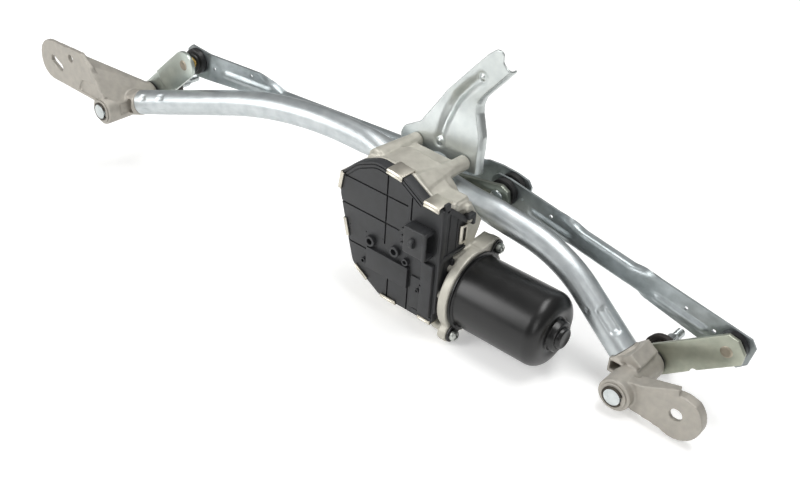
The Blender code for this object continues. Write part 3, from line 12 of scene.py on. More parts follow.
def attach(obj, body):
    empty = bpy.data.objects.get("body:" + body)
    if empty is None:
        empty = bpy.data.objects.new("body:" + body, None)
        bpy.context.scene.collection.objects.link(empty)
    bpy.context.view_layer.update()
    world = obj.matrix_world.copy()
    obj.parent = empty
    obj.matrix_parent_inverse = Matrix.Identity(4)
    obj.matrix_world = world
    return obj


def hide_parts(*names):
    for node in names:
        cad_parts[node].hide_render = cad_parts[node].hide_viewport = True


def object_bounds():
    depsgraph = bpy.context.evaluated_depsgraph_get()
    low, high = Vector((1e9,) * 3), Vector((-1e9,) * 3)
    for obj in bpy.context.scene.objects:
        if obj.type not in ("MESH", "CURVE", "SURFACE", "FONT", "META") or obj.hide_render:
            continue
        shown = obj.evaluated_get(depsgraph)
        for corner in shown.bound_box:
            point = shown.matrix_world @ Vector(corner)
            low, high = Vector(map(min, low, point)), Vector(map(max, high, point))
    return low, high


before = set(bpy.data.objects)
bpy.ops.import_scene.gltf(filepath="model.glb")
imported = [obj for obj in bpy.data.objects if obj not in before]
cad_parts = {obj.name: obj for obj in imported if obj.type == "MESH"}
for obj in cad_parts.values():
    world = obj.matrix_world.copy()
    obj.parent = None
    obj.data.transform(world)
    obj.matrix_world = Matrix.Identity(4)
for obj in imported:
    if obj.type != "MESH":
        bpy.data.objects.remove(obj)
CAD_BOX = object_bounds()

bl_info = {
    "name": "Wiper linkage", "version": (1, 0, 0), "blender": (4, 5, 0),
    "location": "3D View > Sidebar > Linkage",
    "description": "Models and finishes a windscreen wiper linkage with its gear motor",
    "category": "Object",
}

MM = 0.001
HALF_MM = 500.0
DATUM = Vector((29.4, 7.0, 4.0))
AXES = {"X": Vector((1.0, 0.0, 0.0)), "Y": Vector((0.0, 1.0, 0.0)), "Z": Vector((0.0, 0.0, 1.0))}
ROUND = 48
LEAST_TURN = math.radians(4.0)
GAP = 0.3

RIGHT_AXIS = (0.0, 0.0)
LEFT_AXIS = (-510.0, 52.5)
SHAFTS = {"left": LEFT_AXIS, "right": RIGHT_AXIS}
FACES = {"right": 0.0, "left": -58.3}
BARRELS = {"right": 51.5, "left": 54.2}
TUBE_ENTRIES = {"right": 34.0, "left": 27.3}
CAPS_AT = {"right": 67.2, "left": 76.0}
SHAFT_R = 6.6
STUD_HOLE_R = 4.3
BUSH_R = 8.5
TUBE_CORNERS = ((-335.0, 10.5, 101.0), (-208.6, 30.0, 85.3), (-79.7, 41.5, 60.9))
TUBE_BENDS = (320.0, 300.0, 125.0)
TUBE_END = 19.5
TUBE_WALL = 1.5
TUBE_FLAT_HALF = 7.0
SHEET_THICK = 2.0
OUTPUT_AXIS = (-194.0, 66.0)
CRANK_BALL = (-151.26, 74.62)
RIGHT_BALL = (50.57, 38.24)
LEFT_BALL = (-457.33, 98.61)
CRANK_HEADING = 11.4
CRANK_NEAR = 52.0
CRANK_FAR = 56.0
LEVER_HEADINGS = {"right": 37.1, "left": 41.2}
LEVER_RADII = {"right": 63.4, "left": 70.0}
LEVER_NEAR = {"right": 53.0, "left": -4.9}
LEVER_THICK = 3.5
LEVER_JOGGLE = 2.8
BALL_R = 6.0
NEAR_BALL_Y = 61.0
FAR_BALL_Y = 72.5
LEFT_BALL_Y = 8.7
MOTOR_AXIS = (6.2, 19.2)
CAN_START = -131.0
CAN_LENGTH = 75.5
CAN_CORNER = 11.0
FLANGE_R = 35.0
GEAR_ROOM_R = 40.8
EAR_SPOTS = ((30.30, 47.93), (-17.90, -9.53))
BOSSES = ((-223.0, 101.2), (-176.0, 99.6))
BOSS_END = 39.7
BOLT_HOLE_R = 3.3
COVER_FRONT = -28.0
SEAM = -19.0
HOUSING_BACK = 13.2
COVER_RIGHT = -143.0
OUTLINE = (
    (-197.0, -2.0, 6.0), (-226.0, 15.0, 10.0), (-232.0, 37.0, 30.0), (-241.0, 72.0, 20.0),
    (-241.5, 90.0, 14.0), (-226.0, 105.0, 24.0), (-207.0, 113.5, 22.0), (-194.0, 112.2, 3.0),
    (-178.5, 110.5, 3.0), (-161.0, 100.5, 4.0), (COVER_RIGHT, 99.5, 3.0), (COVER_RIGHT, -2.0, 3.0))


# Points and outlines

def at(x, y, z):
    """A point in the frame's metres."""
    return (Vector((x, y, z)) - DATUM) * MM


def place(axis, along, u, v):
    """A point in millimetres from a distance along an axis and two across it."""
    return {"X": (along, u, v), "Y": (u, along, v), "Z": (u, v, along)}[axis]


def polar(centre, radius, degrees):
    turn = math.radians(degrees)
    return (centre[0] + radius * math.cos(turn), centre[1] + radius * math.sin(turn))


def circle(centre, radius, sides):
    return [polar(centre, radius, 360.0 * i / sides) for i in range(sides)]


def fillet(before, here, after, radius, count):
    """The arc that rounds a corner, in count(turn) steps; none where it is nearly straight."""
    back, ahead = (before - here).normalized(), (after - here).normalized()
    angle = back.angle(ahead)
    turn = math.pi - angle
    if radius <= 0.0 or turn < LEAST_TURN:
        return []
    reach = radius / math.tan(angle / 2)
    centre = here + (back + ahead).normalized() * radius / math.sin(angle / 2)
    arms = (here + back * reach - centre, here + ahead * reach - centre)
    steps = count(turn)
    return [centre + (math.sin((1 - k / steps) * turn) * arms[0] + math.sin(k / steps * turn) * arms[1])
            / math.sin(turn) for k in range(steps + 1)]


def rounded(corners, step=7.5):
    """An outline from (u, v, radius) corners, with arcs where the radius isn't zero."""
    outline = []
    for i, (u, v, radius) in enumerate(corners):
        before, after = Vector(corners[i - 1][:2]), Vector(corners[(i + 1) % len(corners)][:2])
        arc = fillet(before, Vector((u, v)), after, radius,
                     lambda turn: max(2, round(math.degrees(turn) / step)))
        outline += [tuple(point) for point in arc] or [(u, v)]
    return outline


def inset(outline, amount):
    """A clockwise outline moved inward by an amount."""
    moved = []
    for i, point in enumerate(outline):
        a, b, c = Vector(outline[i - 1]), Vector(point), Vector(outline[(i + 1) % len(outline)])
        first = (b - a).normalized()
        second = (c - b).normalized()
        first_in = Vector((first.y, -first.x))
        middle = (first_in + Vector((second.y, -second.x))).normalized()
        moved.append(tuple(b + middle * amount / max(0.5, middle.dot(first_in))))
    return moved


def round_end(half, middle=0.0, way=-1.0):
    """Half a circle across the end of a lever, as (along, across) points."""
    turns = [math.radians(a) for a in range(0, 181, 10)]
    return [(middle + way * half * math.sin(a), -way * half * math.cos(a)) for a in turns]


def headed(axis, heading, outline):
    """(along, across) points turned to a heading about an axis."""
    c, s = math.cos(heading), math.sin(heading)
    return [(axis[0] + u * c - v * s, axis[1] + u * s + v * c) for u, v in outline]


def slot_outline(start, end, half, steps=10):
    """A slot with round ends."""
    heading = math.degrees(math.atan2(end[1] - start[1], end[0] - start[0]))
    outline = [polar(end, half, heading - 90.0 + 180.0 * i / steps) for i in range(steps + 1)]
    return outline + [polar(start, half, heading + 90.0 + 180.0 * i / steps) for i in range(steps + 1)]


def spread(stations, distance):
    """Values at a distance, straight between stations of (distance, value...)."""
    for first, second in zip(stations, stations[1:]):
        if distance <= second[0] or second is stations[-1]:
            share = min(1.0, max(0.0, (distance - first[0]) / (second[0] - first[0])))
            return [a + (b - a) * share for a, b in zip(first[1:], second[1:])]
    return list(stations[-1][1:])


def ease(share):
    share = min(1.0, max(0.0, share))
    return share * share * (3.0 - 2.0 * share)


# Modelling steps

def quiet():
    """Object mode with nothing selected."""
    if bpy.context.mode != "OBJECT":
        bpy.ops.object.mode_set(mode="OBJECT")
    bpy.ops.object.select_all(action="DESELECT")


def take(item):
    quiet()
    item.select_set(True)
    bpy.context.view_layer.objects.active = item
    return item


def edit(item, *steps):
    """Runs edit mode steps on all of a piece."""
    take(item)
    bpy.ops.object.mode_set(mode="EDIT")
    for step in steps:
        bpy.ops.mesh.select_all(action="SELECT")
        step()
    bpy.ops.object.mode_set(mode="OBJECT")
    return item


def close_up():
    bpy.ops.mesh.remove_doubles(threshold=0.000002)
    bpy.ops.mesh.delete_loose()
    bpy.ops.mesh.select_all(action="SELECT")
    bpy.ops.mesh.normals_make_consistent(inside=False)


def loose(name, points, fill="NOTHING"):
    """A ring of vertices at some points, filled or not."""
    quiet()
    bpy.ops.mesh.primitive_circle_add(vertices=len(points), radius=0.01, fill_type=fill)
    item = bpy.context.object
    item.name = name
    for vertex, point in zip(item.data.vertices, points):
        vertex.co = point
    item.matrix_world = Matrix.Identity(4)
    return item


def grid(name, columns, rows, where):
    """A grid; where() gives a point from its place, from -0.5 to 0.5 each way."""
    quiet()
    bpy.ops.mesh.primitive_grid_add(x_subdivisions=columns, y_subdivisions=rows, size=1.0)
    item = bpy.context.object
    item.name = name
    for vertex in item.data.vertices:
        vertex.co = at(*where(vertex.co.x, vertex.co.y))
    item.matrix_world = Matrix.Identity(4)
    return item


def raise_up(item, way):
    """Extrudes a filled ring along a way."""
    return edit(item, lambda: bpy.ops.mesh.extrude_region_move(TRANSFORM_OT_translate={"value": way}),
                close_up)


def plate(name, outline, low, high, axis="Y"):
    """A filled outline extruded from low to high along an axis."""
    item = loose(name, [at(*place(axis, low, u, v)) for u, v in outline], "NGON")
    return raise_up(item, AXES[axis] * (high - low) * MM)


def turned(name, profile, centre, axis="Y", sides=ROUND):
    """A closed profile of (along, radius) points spun round an axis."""
    item = loose(name, [at(*place(axis, along, centre[0] + radius, centre[1])) for along, radius in profile])
    middle = at(*place(axis, 0.0, *centre))
    return edit(item, lambda: bpy.ops.mesh.spin(steps=sides, angle=math.tau, center=middle, axis=AXES[axis]),
                close_up)


def solid_hull(name, points):
    """The convex solid around some points."""
    return edit(loose(name, [at(*point) for point in points]), lambda: bpy.ops.mesh.convex_hull(), close_up)


def bar(name, start, end, radius, sides=ROUND, end_radius=None):
    """A round bar, or a cone, between two points in millimetres."""
    quiet()
    start = Vector(start)
    along = Vector(end) - start
    bpy.ops.mesh.primitive_cone_add(
        vertices=sides, radius1=radius * MM, radius2=(end_radius or radius) * MM, depth=along.length * MM,
        location=at(*(start + along / 2)), rotation=along.to_track_quat("Z", "Y").to_euler())
    item = bpy.context.object
    item.name = name
    bpy.ops.object.transform_apply(location=True, rotation=True, scale=True)
    return item


def pin(name, centre, low, high, radius, sides=ROUND, end_radius=None):
    """A round bar, or a cone, along Y."""
    return bar(name, place("Y", low, *centre), place("Y", high, *centre), radius, sides, end_radius)


def box(name, x0, x1, y0, y1, z0, z1, edge=0.0, segments=3):
    """A block with bevelled edges."""
    quiet()
    bpy.ops.mesh.primitive_cube_add(size=1.0, location=at((x0 + x1) / 2, (y0 + y1) / 2, (z0 + z1) / 2))
    item = bpy.context.object
    item.name = name
    item.scale = ((x1 - x0) * MM, (y1 - y0) * MM, (z1 - z0) * MM)
    bpy.ops.object.transform_apply(location=True, rotation=True, scale=True)
    if edge:
        edit(item, lambda: bpy.ops.mesh.bevel(offset=edge * MM, segments=segments, affect="EDGES"))
    return item


def apply_modifier(item, kind, **settings):
    take(item)
    change = item.modifiers.new(kind.title(), kind)
    for key, value in settings.items():
        setattr(change, key, value)
    bpy.ops.object.modifier_apply(modifier=change.name)
    return item


def combine(item, tools, operation):
    """Adds or cuts tools one after another, and removes them."""
    for tool in tools:
        apply_modifier(item, "BOOLEAN", operation=operation, object=tool, solver="MANIFOLD")
        bpy.data.objects.remove(tool, do_unlink=True)
    return item


def add(item, *tools):
    return combine(item, tools, "UNION")


def cut(item, *tools):
    return combine(item, tools, "DIFFERENCE")


def break_edges(item, width, segments=2, angle=35.0):
    """A small bevel along every edge that is sharper than an angle."""
    return apply_modifier(item, "BEVEL", width=width * MM, segments=segments, limit_method="ANGLE",
                          angle_limit=math.radians(angle), use_clamp_overlap=True, harden_normals=False)


def cast_skin(item, grain, rounds):
    """Melts a piece's parts together with small fillets, as a casting or a pressing has."""
    apply_modifier(item, "REMESH", mode="VOXEL", voxel_size=grain * MM, adaptivity=0.0)
    return apply_modifier(item, "SMOOTH", factor=0.5, iterations=rounds)


def fit_out(item, finish_name, body, nodes=(), smooth=38.0):
    """Gives a finished piece its shading, finish, body, material slot and the nodes it stands for."""
    take(item)
    bpy.ops.object.shade_smooth_by_angle(angle=math.radians(smooth))
    item.data.materials.clear()
    item.data.materials.append(FINISHES[finish_name])
    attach(item, body)
    if nodes:
        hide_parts(*nodes)
    return item


# Finishes

def linear(code):
    """Linear colour from an sRGB hex code."""
    channels = (int(code[i:i + 2], 16) / 255.0 for i in (1, 3, 5))
    return (*(c / 12.92 if c <= 0.04045 else ((c + 0.055) / 1.055) ** 2.4 for c in channels), 1.0)


def node(tree, kind, inputs=None, **settings):
    """Adds a node with its settings; each input takes a value or another node's output."""
    made = tree.nodes.new("ShaderNode" + kind)
    for key, value in settings.items():
        setattr(made, key, value)
    for key, value in (inputs or {}).items():
        if isinstance(value, bpy.types.NodeSocket):
            tree.links.new(value, made.inputs[key])
        else:
            made.inputs[key].default_value = value
    return made


FINISHES = {}


def finish(name, metallic):
    """A new material, its node tree and its shader."""
    material = bpy.data.materials.new(name)
    material.use_nodes = True
    tree = material.node_tree
    shader = tree.nodes["Principled BSDF"]
    shader.inputs["Metallic"].default_value = metallic
    FINISHES[name] = material
    return tree, shader


def per_mm(size):
    """The scale of a texture whose pattern repeats about every so many millimetres."""
    return 1.0 / (size * MM)


def patched(tree, vector, size, dark, light, low=0.35, high=0.65):
    """Two colours in soft patches of a size, and the patches' own value."""
    cloud = node(tree, "TexNoise", {"Vector": vector, "Scale": per_mm(size), "Detail": 3.0})
    ramp = node(tree, "ValToRGB", {"Fac": cloud.outputs["Fac"]})
    ends = ramp.color_ramp.elements
    ends[0].position, ends[1].position = low, high
    ends[0].color, ends[1].color = linear(dark), linear(light)
    return ramp.outputs["Color"], cloud.outputs["Fac"]


def span(tree, value, low, high):
    return node(tree, "MapRange", {"Value": value, "From Min": 0.3, "From Max": 0.7, "To Min": low,
                                   "To Max": high}).outputs["Result"]


def bumped(tree, shader, height, strength, depth):
    made = node(tree, "Bump", {"Height": height, "Strength": strength, "Distance": depth * MM})
    tree.links.new(made.outputs["Normal"], shader.inputs["Normal"])


def surface(tree, shader, colour, roughness):
    tree.links.new(colour, shader.inputs["Base Color"])
    tree.links.new(roughness, shader.inputs["Roughness"])


def spot(tree, scale=(1.0, 1.0, 1.0)):
    """Object coordinates, stretched per axis."""
    where = node(tree, "TexCoord").outputs["Object"]
    return node(tree, "Mapping", {"Vector": where, "Scale": scale}).outputs["Vector"]


def zinc_sheet(name, dark, light, rough, drawn=None):
    """Electro-galvanised steel: satin, a little cloudy, with faint lines along the way it was drawn.

    drawn is the length and width in mm that the piece's own UV area stands for.
    """
    tree, shader = finish(name, 0.88)
    if drawn:
        flat = node(tree, "TexCoord").outputs["UV"]
        length, width = drawn
        where = node(tree, "Mapping", {"Vector": flat, "Scale": (length * MM * 0.02, width * MM, 1.0)})
        where = where.outputs["Vector"]
    else:
        where = spot(tree)
    lines = node(tree, "TexNoise", {"Vector": where, "Scale": per_mm(1.3), "Detail": 3.0})
    tint, cloud = patched(tree, spot(tree), 9.0, dark, light, 0.3, 0.7)
    surface(tree, shader, tint, span(tree, lines.outputs["Fac"], *rough))
    bumped(tree, shader, lines.outputs["Fac"], 0.2, 0.03)


def cast_alloy(name, dark, light, rough, grit, depth):
    """Die-cast aluminium, shot-blasted: matte, pale and evenly sandy."""
    tree, shader = finish(name, 0.45)
    where = spot(tree)
    tint, cloud = patched(tree, where, 6.0, dark, light, 0.3, 0.7)
    sand = node(tree, "TexNoise", {"Vector": where, "Scale": per_mm(grit), "Detail": 2.0})
    surface(tree, shader, tint, span(tree, cloud, *rough))
    bumped(tree, shader, sand.outputs["Fac"], 0.5, depth)


def moulding(name, dark, light, rough, grit, depth):
    """Glass-filled nylon or rubber, moulded: dull black with a fine spark-eroded grain."""
    tree, shader = finish(name, 0.0)
    where = spot(tree)
    tint, cloud = patched(tree, where, 12.0, dark, light)
    grain = node(tree, "TexNoise", {"Vector": where, "Scale": per_mm(grit), "Detail": 3.0})
    surface(tree, shader, tint, span(tree, cloud, *rough))
    bumped(tree, shader, grain.outputs["Fac"], 0.4, depth)


def bright_metal(name, dark, light, rough, grit=0.5, depth=0.004):
    """Turned, rolled or plated bright metal: silky, with barely visible tool marks."""
    tree, shader = finish(name, 1.0)
    where = spot(tree)
    tint, cloud = patched(tree, where, 6.0, dark, light, 0.3, 0.7)
    marks = node(tree, "TexNoise", {"Vector": where, "Scale": per_mm(grit), "Detail": 2.0})
    surface(tree, shader, tint, span(tree, cloud, *rough))
    bumped(tree, shader, marks.outputs["Fac"], 0.15, depth)


def stoved_paint(name, dark, light):
    """Black stoving enamel on the pressed can: one soft sheen, faint orange peel."""
    tree, shader = finish(name, 0.0)
    where = spot(tree)
    tint, cloud = patched(tree, where, 20.0, dark, light)
    peel = node(tree, "TexNoise", {"Vector": where, "Scale": per_mm(2.2), "Detail": 1.0})
    surface(tree, shader, tint, span(tree, cloud, 0.3, 0.34))
    bumped(tree, shader, peel.outputs["Fac"], 0.06, 0.03)


def make_finishes(tints):
    zinc_sheet("zinc_plated_tube", "#B3B9BB", tints.tube, (0.36, 0.46), (520.0, 69.0))
    zinc_sheet("zinc_plated_sheet", "#979E9F", tints.sheet, (0.34, 0.44), (260.0, 32.0))
    zinc_sheet("zinc_plated_bracket", "#BFC5C4", "#CDD2D0", (0.34, 0.4))
    zinc_sheet("clear_passivated_lever", "#B4BCB5", "#C6CDC5", (0.32, 0.42))
    zinc_sheet("dull_passivated_crank", "#7C8178", "#8E9389", (0.34, 0.44))
    zinc_sheet("yellow_passivated_lever", "#9FA395", "#B1B4A5", (0.36, 0.46))
    cast_alloy("blasted_pivot_casting", "#A19D95", tints.casting, (0.5, 0.58), 0.7, 0.03)
    cast_alloy("blasted_gear_casting", "#B8B5AA", "#C6C3B8", (0.46, 0.54), 0.7, 0.03)
    moulding("glass_filled_nylon", "#202122", tints.cover, (0.42, 0.56), 0.7, 0.03)
    moulding("seal_rubber", "#231F1C", "#3A3531", (0.55, 0.7), 0.9, 0.04)
    moulding("acetal_cup", "#131313", "#232323", (0.3, 0.42), 0.8, 0.02)
    moulding("natural_nylon", "#B8AE93", "#CFC7B0", (0.4, 0.5), 0.9, 0.02)
    moulding("circuit_board", "#0F4A25", "#1A6A38", (0.35, 0.45), 1.2, 0.02)
    moulding("ferrite", "#3A3A3D", "#4B4B4E", (0.5, 0.7), 0.6, 0.03)
    stoved_paint("stoved_black_paint", "#090909", tints.can)
    bright_metal("nickel_plated_spring", "#C6C1B4", "#D4CFC3", (0.34, 0.42))
    bright_metal("turned_bright_steel", "#B4B9B9", "#CDD2D2", (0.24, 0.34))
    bright_metal("zinc_plated_screw", "#A8ACA8", "#CBCEC8", (0.26, 0.36))
    bright_metal("gold_passivated_stud", "#A98748", "#D2B473", (0.24, 0.34))
    # Spring rings painted near black: painted shade of the shadowed gap round the pin, not a blued finish.
    bright_metal("painted_shade_spring_ring", "#3B3834", "#514C45", (0.4, 0.5))
    bright_metal("dull_rivet", "#9A9284", "#A9A191", (0.4, 0.5), 0.8)
    bright_metal("sintered_bronze", "#7E5F38", "#9A7748", (0.4, 0.55), 0.4, 0.04)
    bright_metal("copper_winding", "#9A4F28", "#C9743F", (0.28, 0.4), 0.9, 0.12)


# Frame tube

def tube_route():
    """The tube's centre line, straight runs joined by arcs, in steps of about 3 mm."""
    ends = []
    for side, axis, corner in (("left", LEFT_AXIS, TUBE_CORNERS[0]), ("right", RIGHT_AXIS, TUBE_CORNERS[-1])):
        middle = Vector((axis[0], FACES[side] + TUBE_ENTRIES[side], axis[1]))
        ends.append((middle, middle + (Vector(corner) - middle).normalized() * TUBE_END))
    whole = [ends[0][0], *(Vector(corner) for corner in TUBE_CORNERS), ends[1][0]]
    path = [ends[0][1]]
    for i, radius in enumerate(TUBE_BENDS):
        path += fillet(*whole[i:i + 3], radius, lambda turn: max(3, round(radius * turn / 3.0)))
    path.append(ends[1][1])
    dense = [path[0]]
    for point in path[1:]:
        start = dense[-1]
        pieces = max(1, round((point - start).length / 1.5))
        dense += [start.lerp(point, (k + 1) / pieces) for k in range(pieces)]
    return dense


def pressed_flat(x):
    """How far the tube is pressed flat at an x, from 0 to 1."""
    away = max(0.0, abs(x + 200.0) - 31.0) / 34.0
    return 0.0 if away >= 1.0 else 0.5 + 0.5 * math.cos(math.pi * away)


def dent(distance, degrees, where, turn, half_length, half_turn, depth, wall=0.35):
    """Depth of a pressed pocket with steep walls, in mm."""
    along = abs(distance - where) / half_length
    off = abs((degrees - turn + 180.0) % 360.0 - 180.0) / half_turn
    return depth * ease((1.0 - along) / wall) * ease((1.0 - off) / wall)


TUBE_DENTS = (
    (9.5, 42.0, 3.2, 18.0, 0.8), (30.5, 44.0, 3.2, 18.0, 0.8), (11.5, 338.0, 3.6, 10.0, 1.1),
    (32.0, 338.0, 3.6, 10.0, 1.1), (482.0, 57.0, 12.0, 24.0, 1.8), (468.0, 4.0, 2.0, 11.0, 0.8))


class LINKAGE_OT_tube(bpy.types.Operator):
    """Bent frame tube, pressed flat under the motor, with the crimps that hold its ends"""
    bl_idname = "linkage.tube"
    bl_label = "Frame tube"

    def execute(self, context):
        size = context.scene.linkage_frame
        path = tube_route()
        reach = [0.0]
        for a, b in zip(path, path[1:]):
            reach.append(reach[-1] + (b - a).length)
        radius = size.tube_diameter * HALF_MM

        def where(s, t):
            i = round((s + 0.5) * (len(path) - 1))
            degrees = (t + 0.5) * 360.0
            point = path[i]
            tangent = (path[min(i + 1, len(path) - 1)] - path[max(i - 1, 0)]).normalized()
            across = tangent.cross(AXES["Z"]).normalized()
            up = across.cross(tangent)
            flat = pressed_flat(point.x)
            drawn = ease((reach[i] - 250.0) / 60.0) * ease((490.0 - reach[i]) / 60.0)
            crease = 1.0 - 0.014 * drawn * (1.0 - math.cos(math.radians(4.0 * (degrees - 12.0))))
            here = radius * crease - sum(dent(reach[i], degrees, *spec) for spec in TUBE_DENTS)
            turn = math.radians(degrees)
            width = here + 2.24 * flat
            height = here - (radius - TUBE_FLAT_HALF) * flat
            return point + across * math.cos(turn) * width + up * math.sin(turn) * height

        tube = edit(grid("bent_frame_tube", len(path) - 1, size.tube_sides, where), close_up)
        apply_modifier(tube, "SOLIDIFY", thickness=TUBE_WALL * MM, offset=-1.0, use_even_offset=False)
        fit_out(tube, "zinc_plated_tube", "frame", ("frame_tube",), 50.0)
        return {"FINISHED"}


# Pivot castings and their shafts

BARREL_R = 12.8
COLLAR_R = 11.6
SPIGOT_R = 8.87


def pivot_parts(side):
    """Barrel, spigot and collar of one pivot, and the tube's way out of it."""
    axis = SHAFTS[side]
    face = FACES[side]
    end = face + BARRELS[side]
    corner = TUBE_CORNERS[-1] if side == "right" else TUBE_CORNERS[0]
    barrel = turned(side + "_pivot_casting", [
        (face, 0.0), (face, BARREL_R - 0.7), (face + 0.7, BARREL_R), (end - 0.8, BARREL_R - 0.4),
        (end, BARREL_R - 1.2), (end, 0.0)], axis)
    start = Vector((axis[0], face + TUBE_ENTRIES[side], axis[1]))
    along = (Vector(corner) - start).normalized()
    spigot = bar("spigot", start, start + along * (TUBE_END + 24.0), SPIGOT_R)
    collar = bar("collar", start, start + along * (TUBE_END - GAP), COLLAR_R)
    return add(barrel, spigot, collar), start, along


def bore_out(item, side):
    axis = SHAFTS[side]
    face = FACES[side]
    end = face + BARRELS[side]
    return cut(item, pin("bore", axis, face - 2.0, end + 2.0, BUSH_R + 0.1))


class LINKAGE_OT_left_pivot(bpy.types.Operator):
    """Left pivot casting with its broad arm, slot and web"""
    bl_idname = "linkage.left_pivot"
    bl_label = "Left pivot"

    def execute(self, context):
        size = context.scene.linkage_frame
        item, start, along = pivot_parts("left")
        ax, az = LEFT_AXIS
        low = FACES["left"] + 1.0
        far = FACES["left"] + BARRELS["left"] - 2.5
        arm = plate("arm", rounded((
            (ax - 6.0, az + 5.7, 0.0), (ax - 92.0, az + 5.7, 16.5), (ax - 92.0, az + 43.6, 20.0),
            (ax - 47.0, az + 45.8, 4.0), (ax - 25.0, az + 46.8, 1.0), (ax - 12.0, az + 37.0, 8.0),
            (ax - 5.0, az + 24.0, 6.0), (ax + 5.0, az + 14.0, 0.0)), 8.0), low, low + 4.2)
        web = solid_hull("web", (
            (ax - 33.0, low + 0.4, az + 42.0), (ax - 17.0, low - 0.4, az + 39.0),
            (ax - 8.0, low - 0.6, az + 31.5), (ax - 6.5, low - 0.6, az + 22.5),
            (ax + 4.0, low - 0.6, az + 15.5), (ax - 29.0, low + 0.8, az + 46.2),
            (ax - 33.0, low + 4.0, az + 43.0), (ax - 9.0, far, az + 10.4), (ax - 2.0, far, az + 12.4),
            (ax + 6.0, far, az + 11.3), (ax + 9.0, far - 10.0, az + 9.0), (ax + 9.0, low + 10.0, az + 9.0),
            (ax - 14.0, low + 6.0, az + 9.0)))
        add(item, arm, web)
        tilt = math.radians(-26.0)
        half = Vector((math.cos(tilt), math.sin(tilt))) * 5.4
        middle = Vector((ax - 66.6, az + 24.2))
        pocket = start + along * (TUBE_END - 9.0)
        cut(item, plate("recess", rounded((
            (ax - 1.5, az + 8.2, 1.0), (ax - 36.0, az + 8.2, 2.0), (ax - 28.5, az + 20.0, 3.0),
            (ax - 6.2, az + 23.2, 2.0)), 12.0), low - 3.0, low + 1.8),
            plate("slot", slot_outline(middle - half, middle + half, 3.9), low - 6.0, low + 20.0),
            bar("peg", (ax - 43.2, low - 6.0, az + 36.0), (ax - 43.2, low + 20.0, az + 36.0), 3.6),
            box("window", ax + 10.8, pocket.x + 6.4, pocket.y - 18.0, pocket.y - 4.0, pocket.z - 6.4,
                pocket.z + 6.4, 0.8))
        cast_skin(item, size.casting_grain / MM, 2)
        bore_out(item, "left")
        fit_out(item, "blasted_pivot_casting", "frame", ("left_pivot_housing",), 60.0)
        return {"FINISHED"}


class LINKAGE_OT_right_pivot(bpy.types.Operator):
    """Right pivot casting with its round arm, rib and lug"""
    bl_idname = "linkage.right_pivot"
    bl_label = "Right pivot"

    def execute(self, context):
        size = context.scene.linkage_frame
        item, start, along = pivot_parts("right")
        low = 7.0
        hx, hz = 43.6, 4.8
        arm = plate("arm", [(2.0, -9.5), *[polar((hx, hz), 19.6, -118.0 + 9.5 * i) for i in range(19)],
                            (hx + 3.5, hz + 17.6), (hx - 0.5, hz + 17.2), (6.0, 12.0)], low, low + 8.6)
        rib = solid_hull("rib", (
            (12.0, low - 0.4, 12.6), (hx - 1.6, low - 0.4, hz + 22.8), (hx - 1.0, low - 0.4, hz + 17.4),
            (11.0, low - 0.4, 7.4), (hx - 3.0, low + 7.5, hz + 20.6), (hx - 3.0, low + 7.5, hz + 14.0),
            (9.5, 19.0, 13.0), (12.5, 19.0, 3.0)))
        side = along.cross(AXES["Y"]).normalized()
        root = start + along * 3.0 - side * 2.0
        lug = []
        for y0, reach in ((-13.0, 13.2), (12.0, 13.8)):
            for forward, out in ((0.0, 6.0), (14.5, 4.0), (13.0, reach), (1.5, reach + 1.6)):
                lug.append(root + along * forward - side * out + Vector((0.0, y0, 0.0)))
        add(item, arm, rib, solid_hull("lug", lug))
        frame_at = start + along * 11.0
        add(item, box("pocket_frame", frame_at.x - 10.0, frame_at.x + 5.5, frame_at.y - 13.5, frame_at.y,
                      frame_at.z - 8.0, frame_at.z + 4.5, 0.6))
        window = box("window", frame_at.x - 8.0, frame_at.x + 3.6, frame_at.y - 16.0, frame_at.y - 4.0,
                     frame_at.z - 5.0, frame_at.z + 2.4)
        hollow = plate("hollow", [polar((hx, hz), 16.6, -118.0 + 12.0 * i) for i in range(31)], low + 3.2,
                       low + 12.0)
        hole = bar("hole", (hx, low - 4.0, hz + 0.8), (hx, low + 15.0, hz + 0.8), 4.7)
        cut(item, window, hollow, hole)
        cast_skin(item, size.casting_grain / MM, 2)
        bore_out(item, "right")
        fit_out(item, "blasted_pivot_casting", "frame", ("right_pivot_housing",), 60.0)
        return {"FINISHED"}


def splined_end(item, axis, low, high, radius, teeth=30):
    """Teeth of the knurled cone that carries the wiper arm."""
    outline = [polar(axis, radius * share, 360.0 / teeth * (i + offset)) for i in range(teeth)
               for offset, share in ((0.0, 0.93), (0.5, 1.0))]
    return add(item, plate("teeth", outline, low, high))


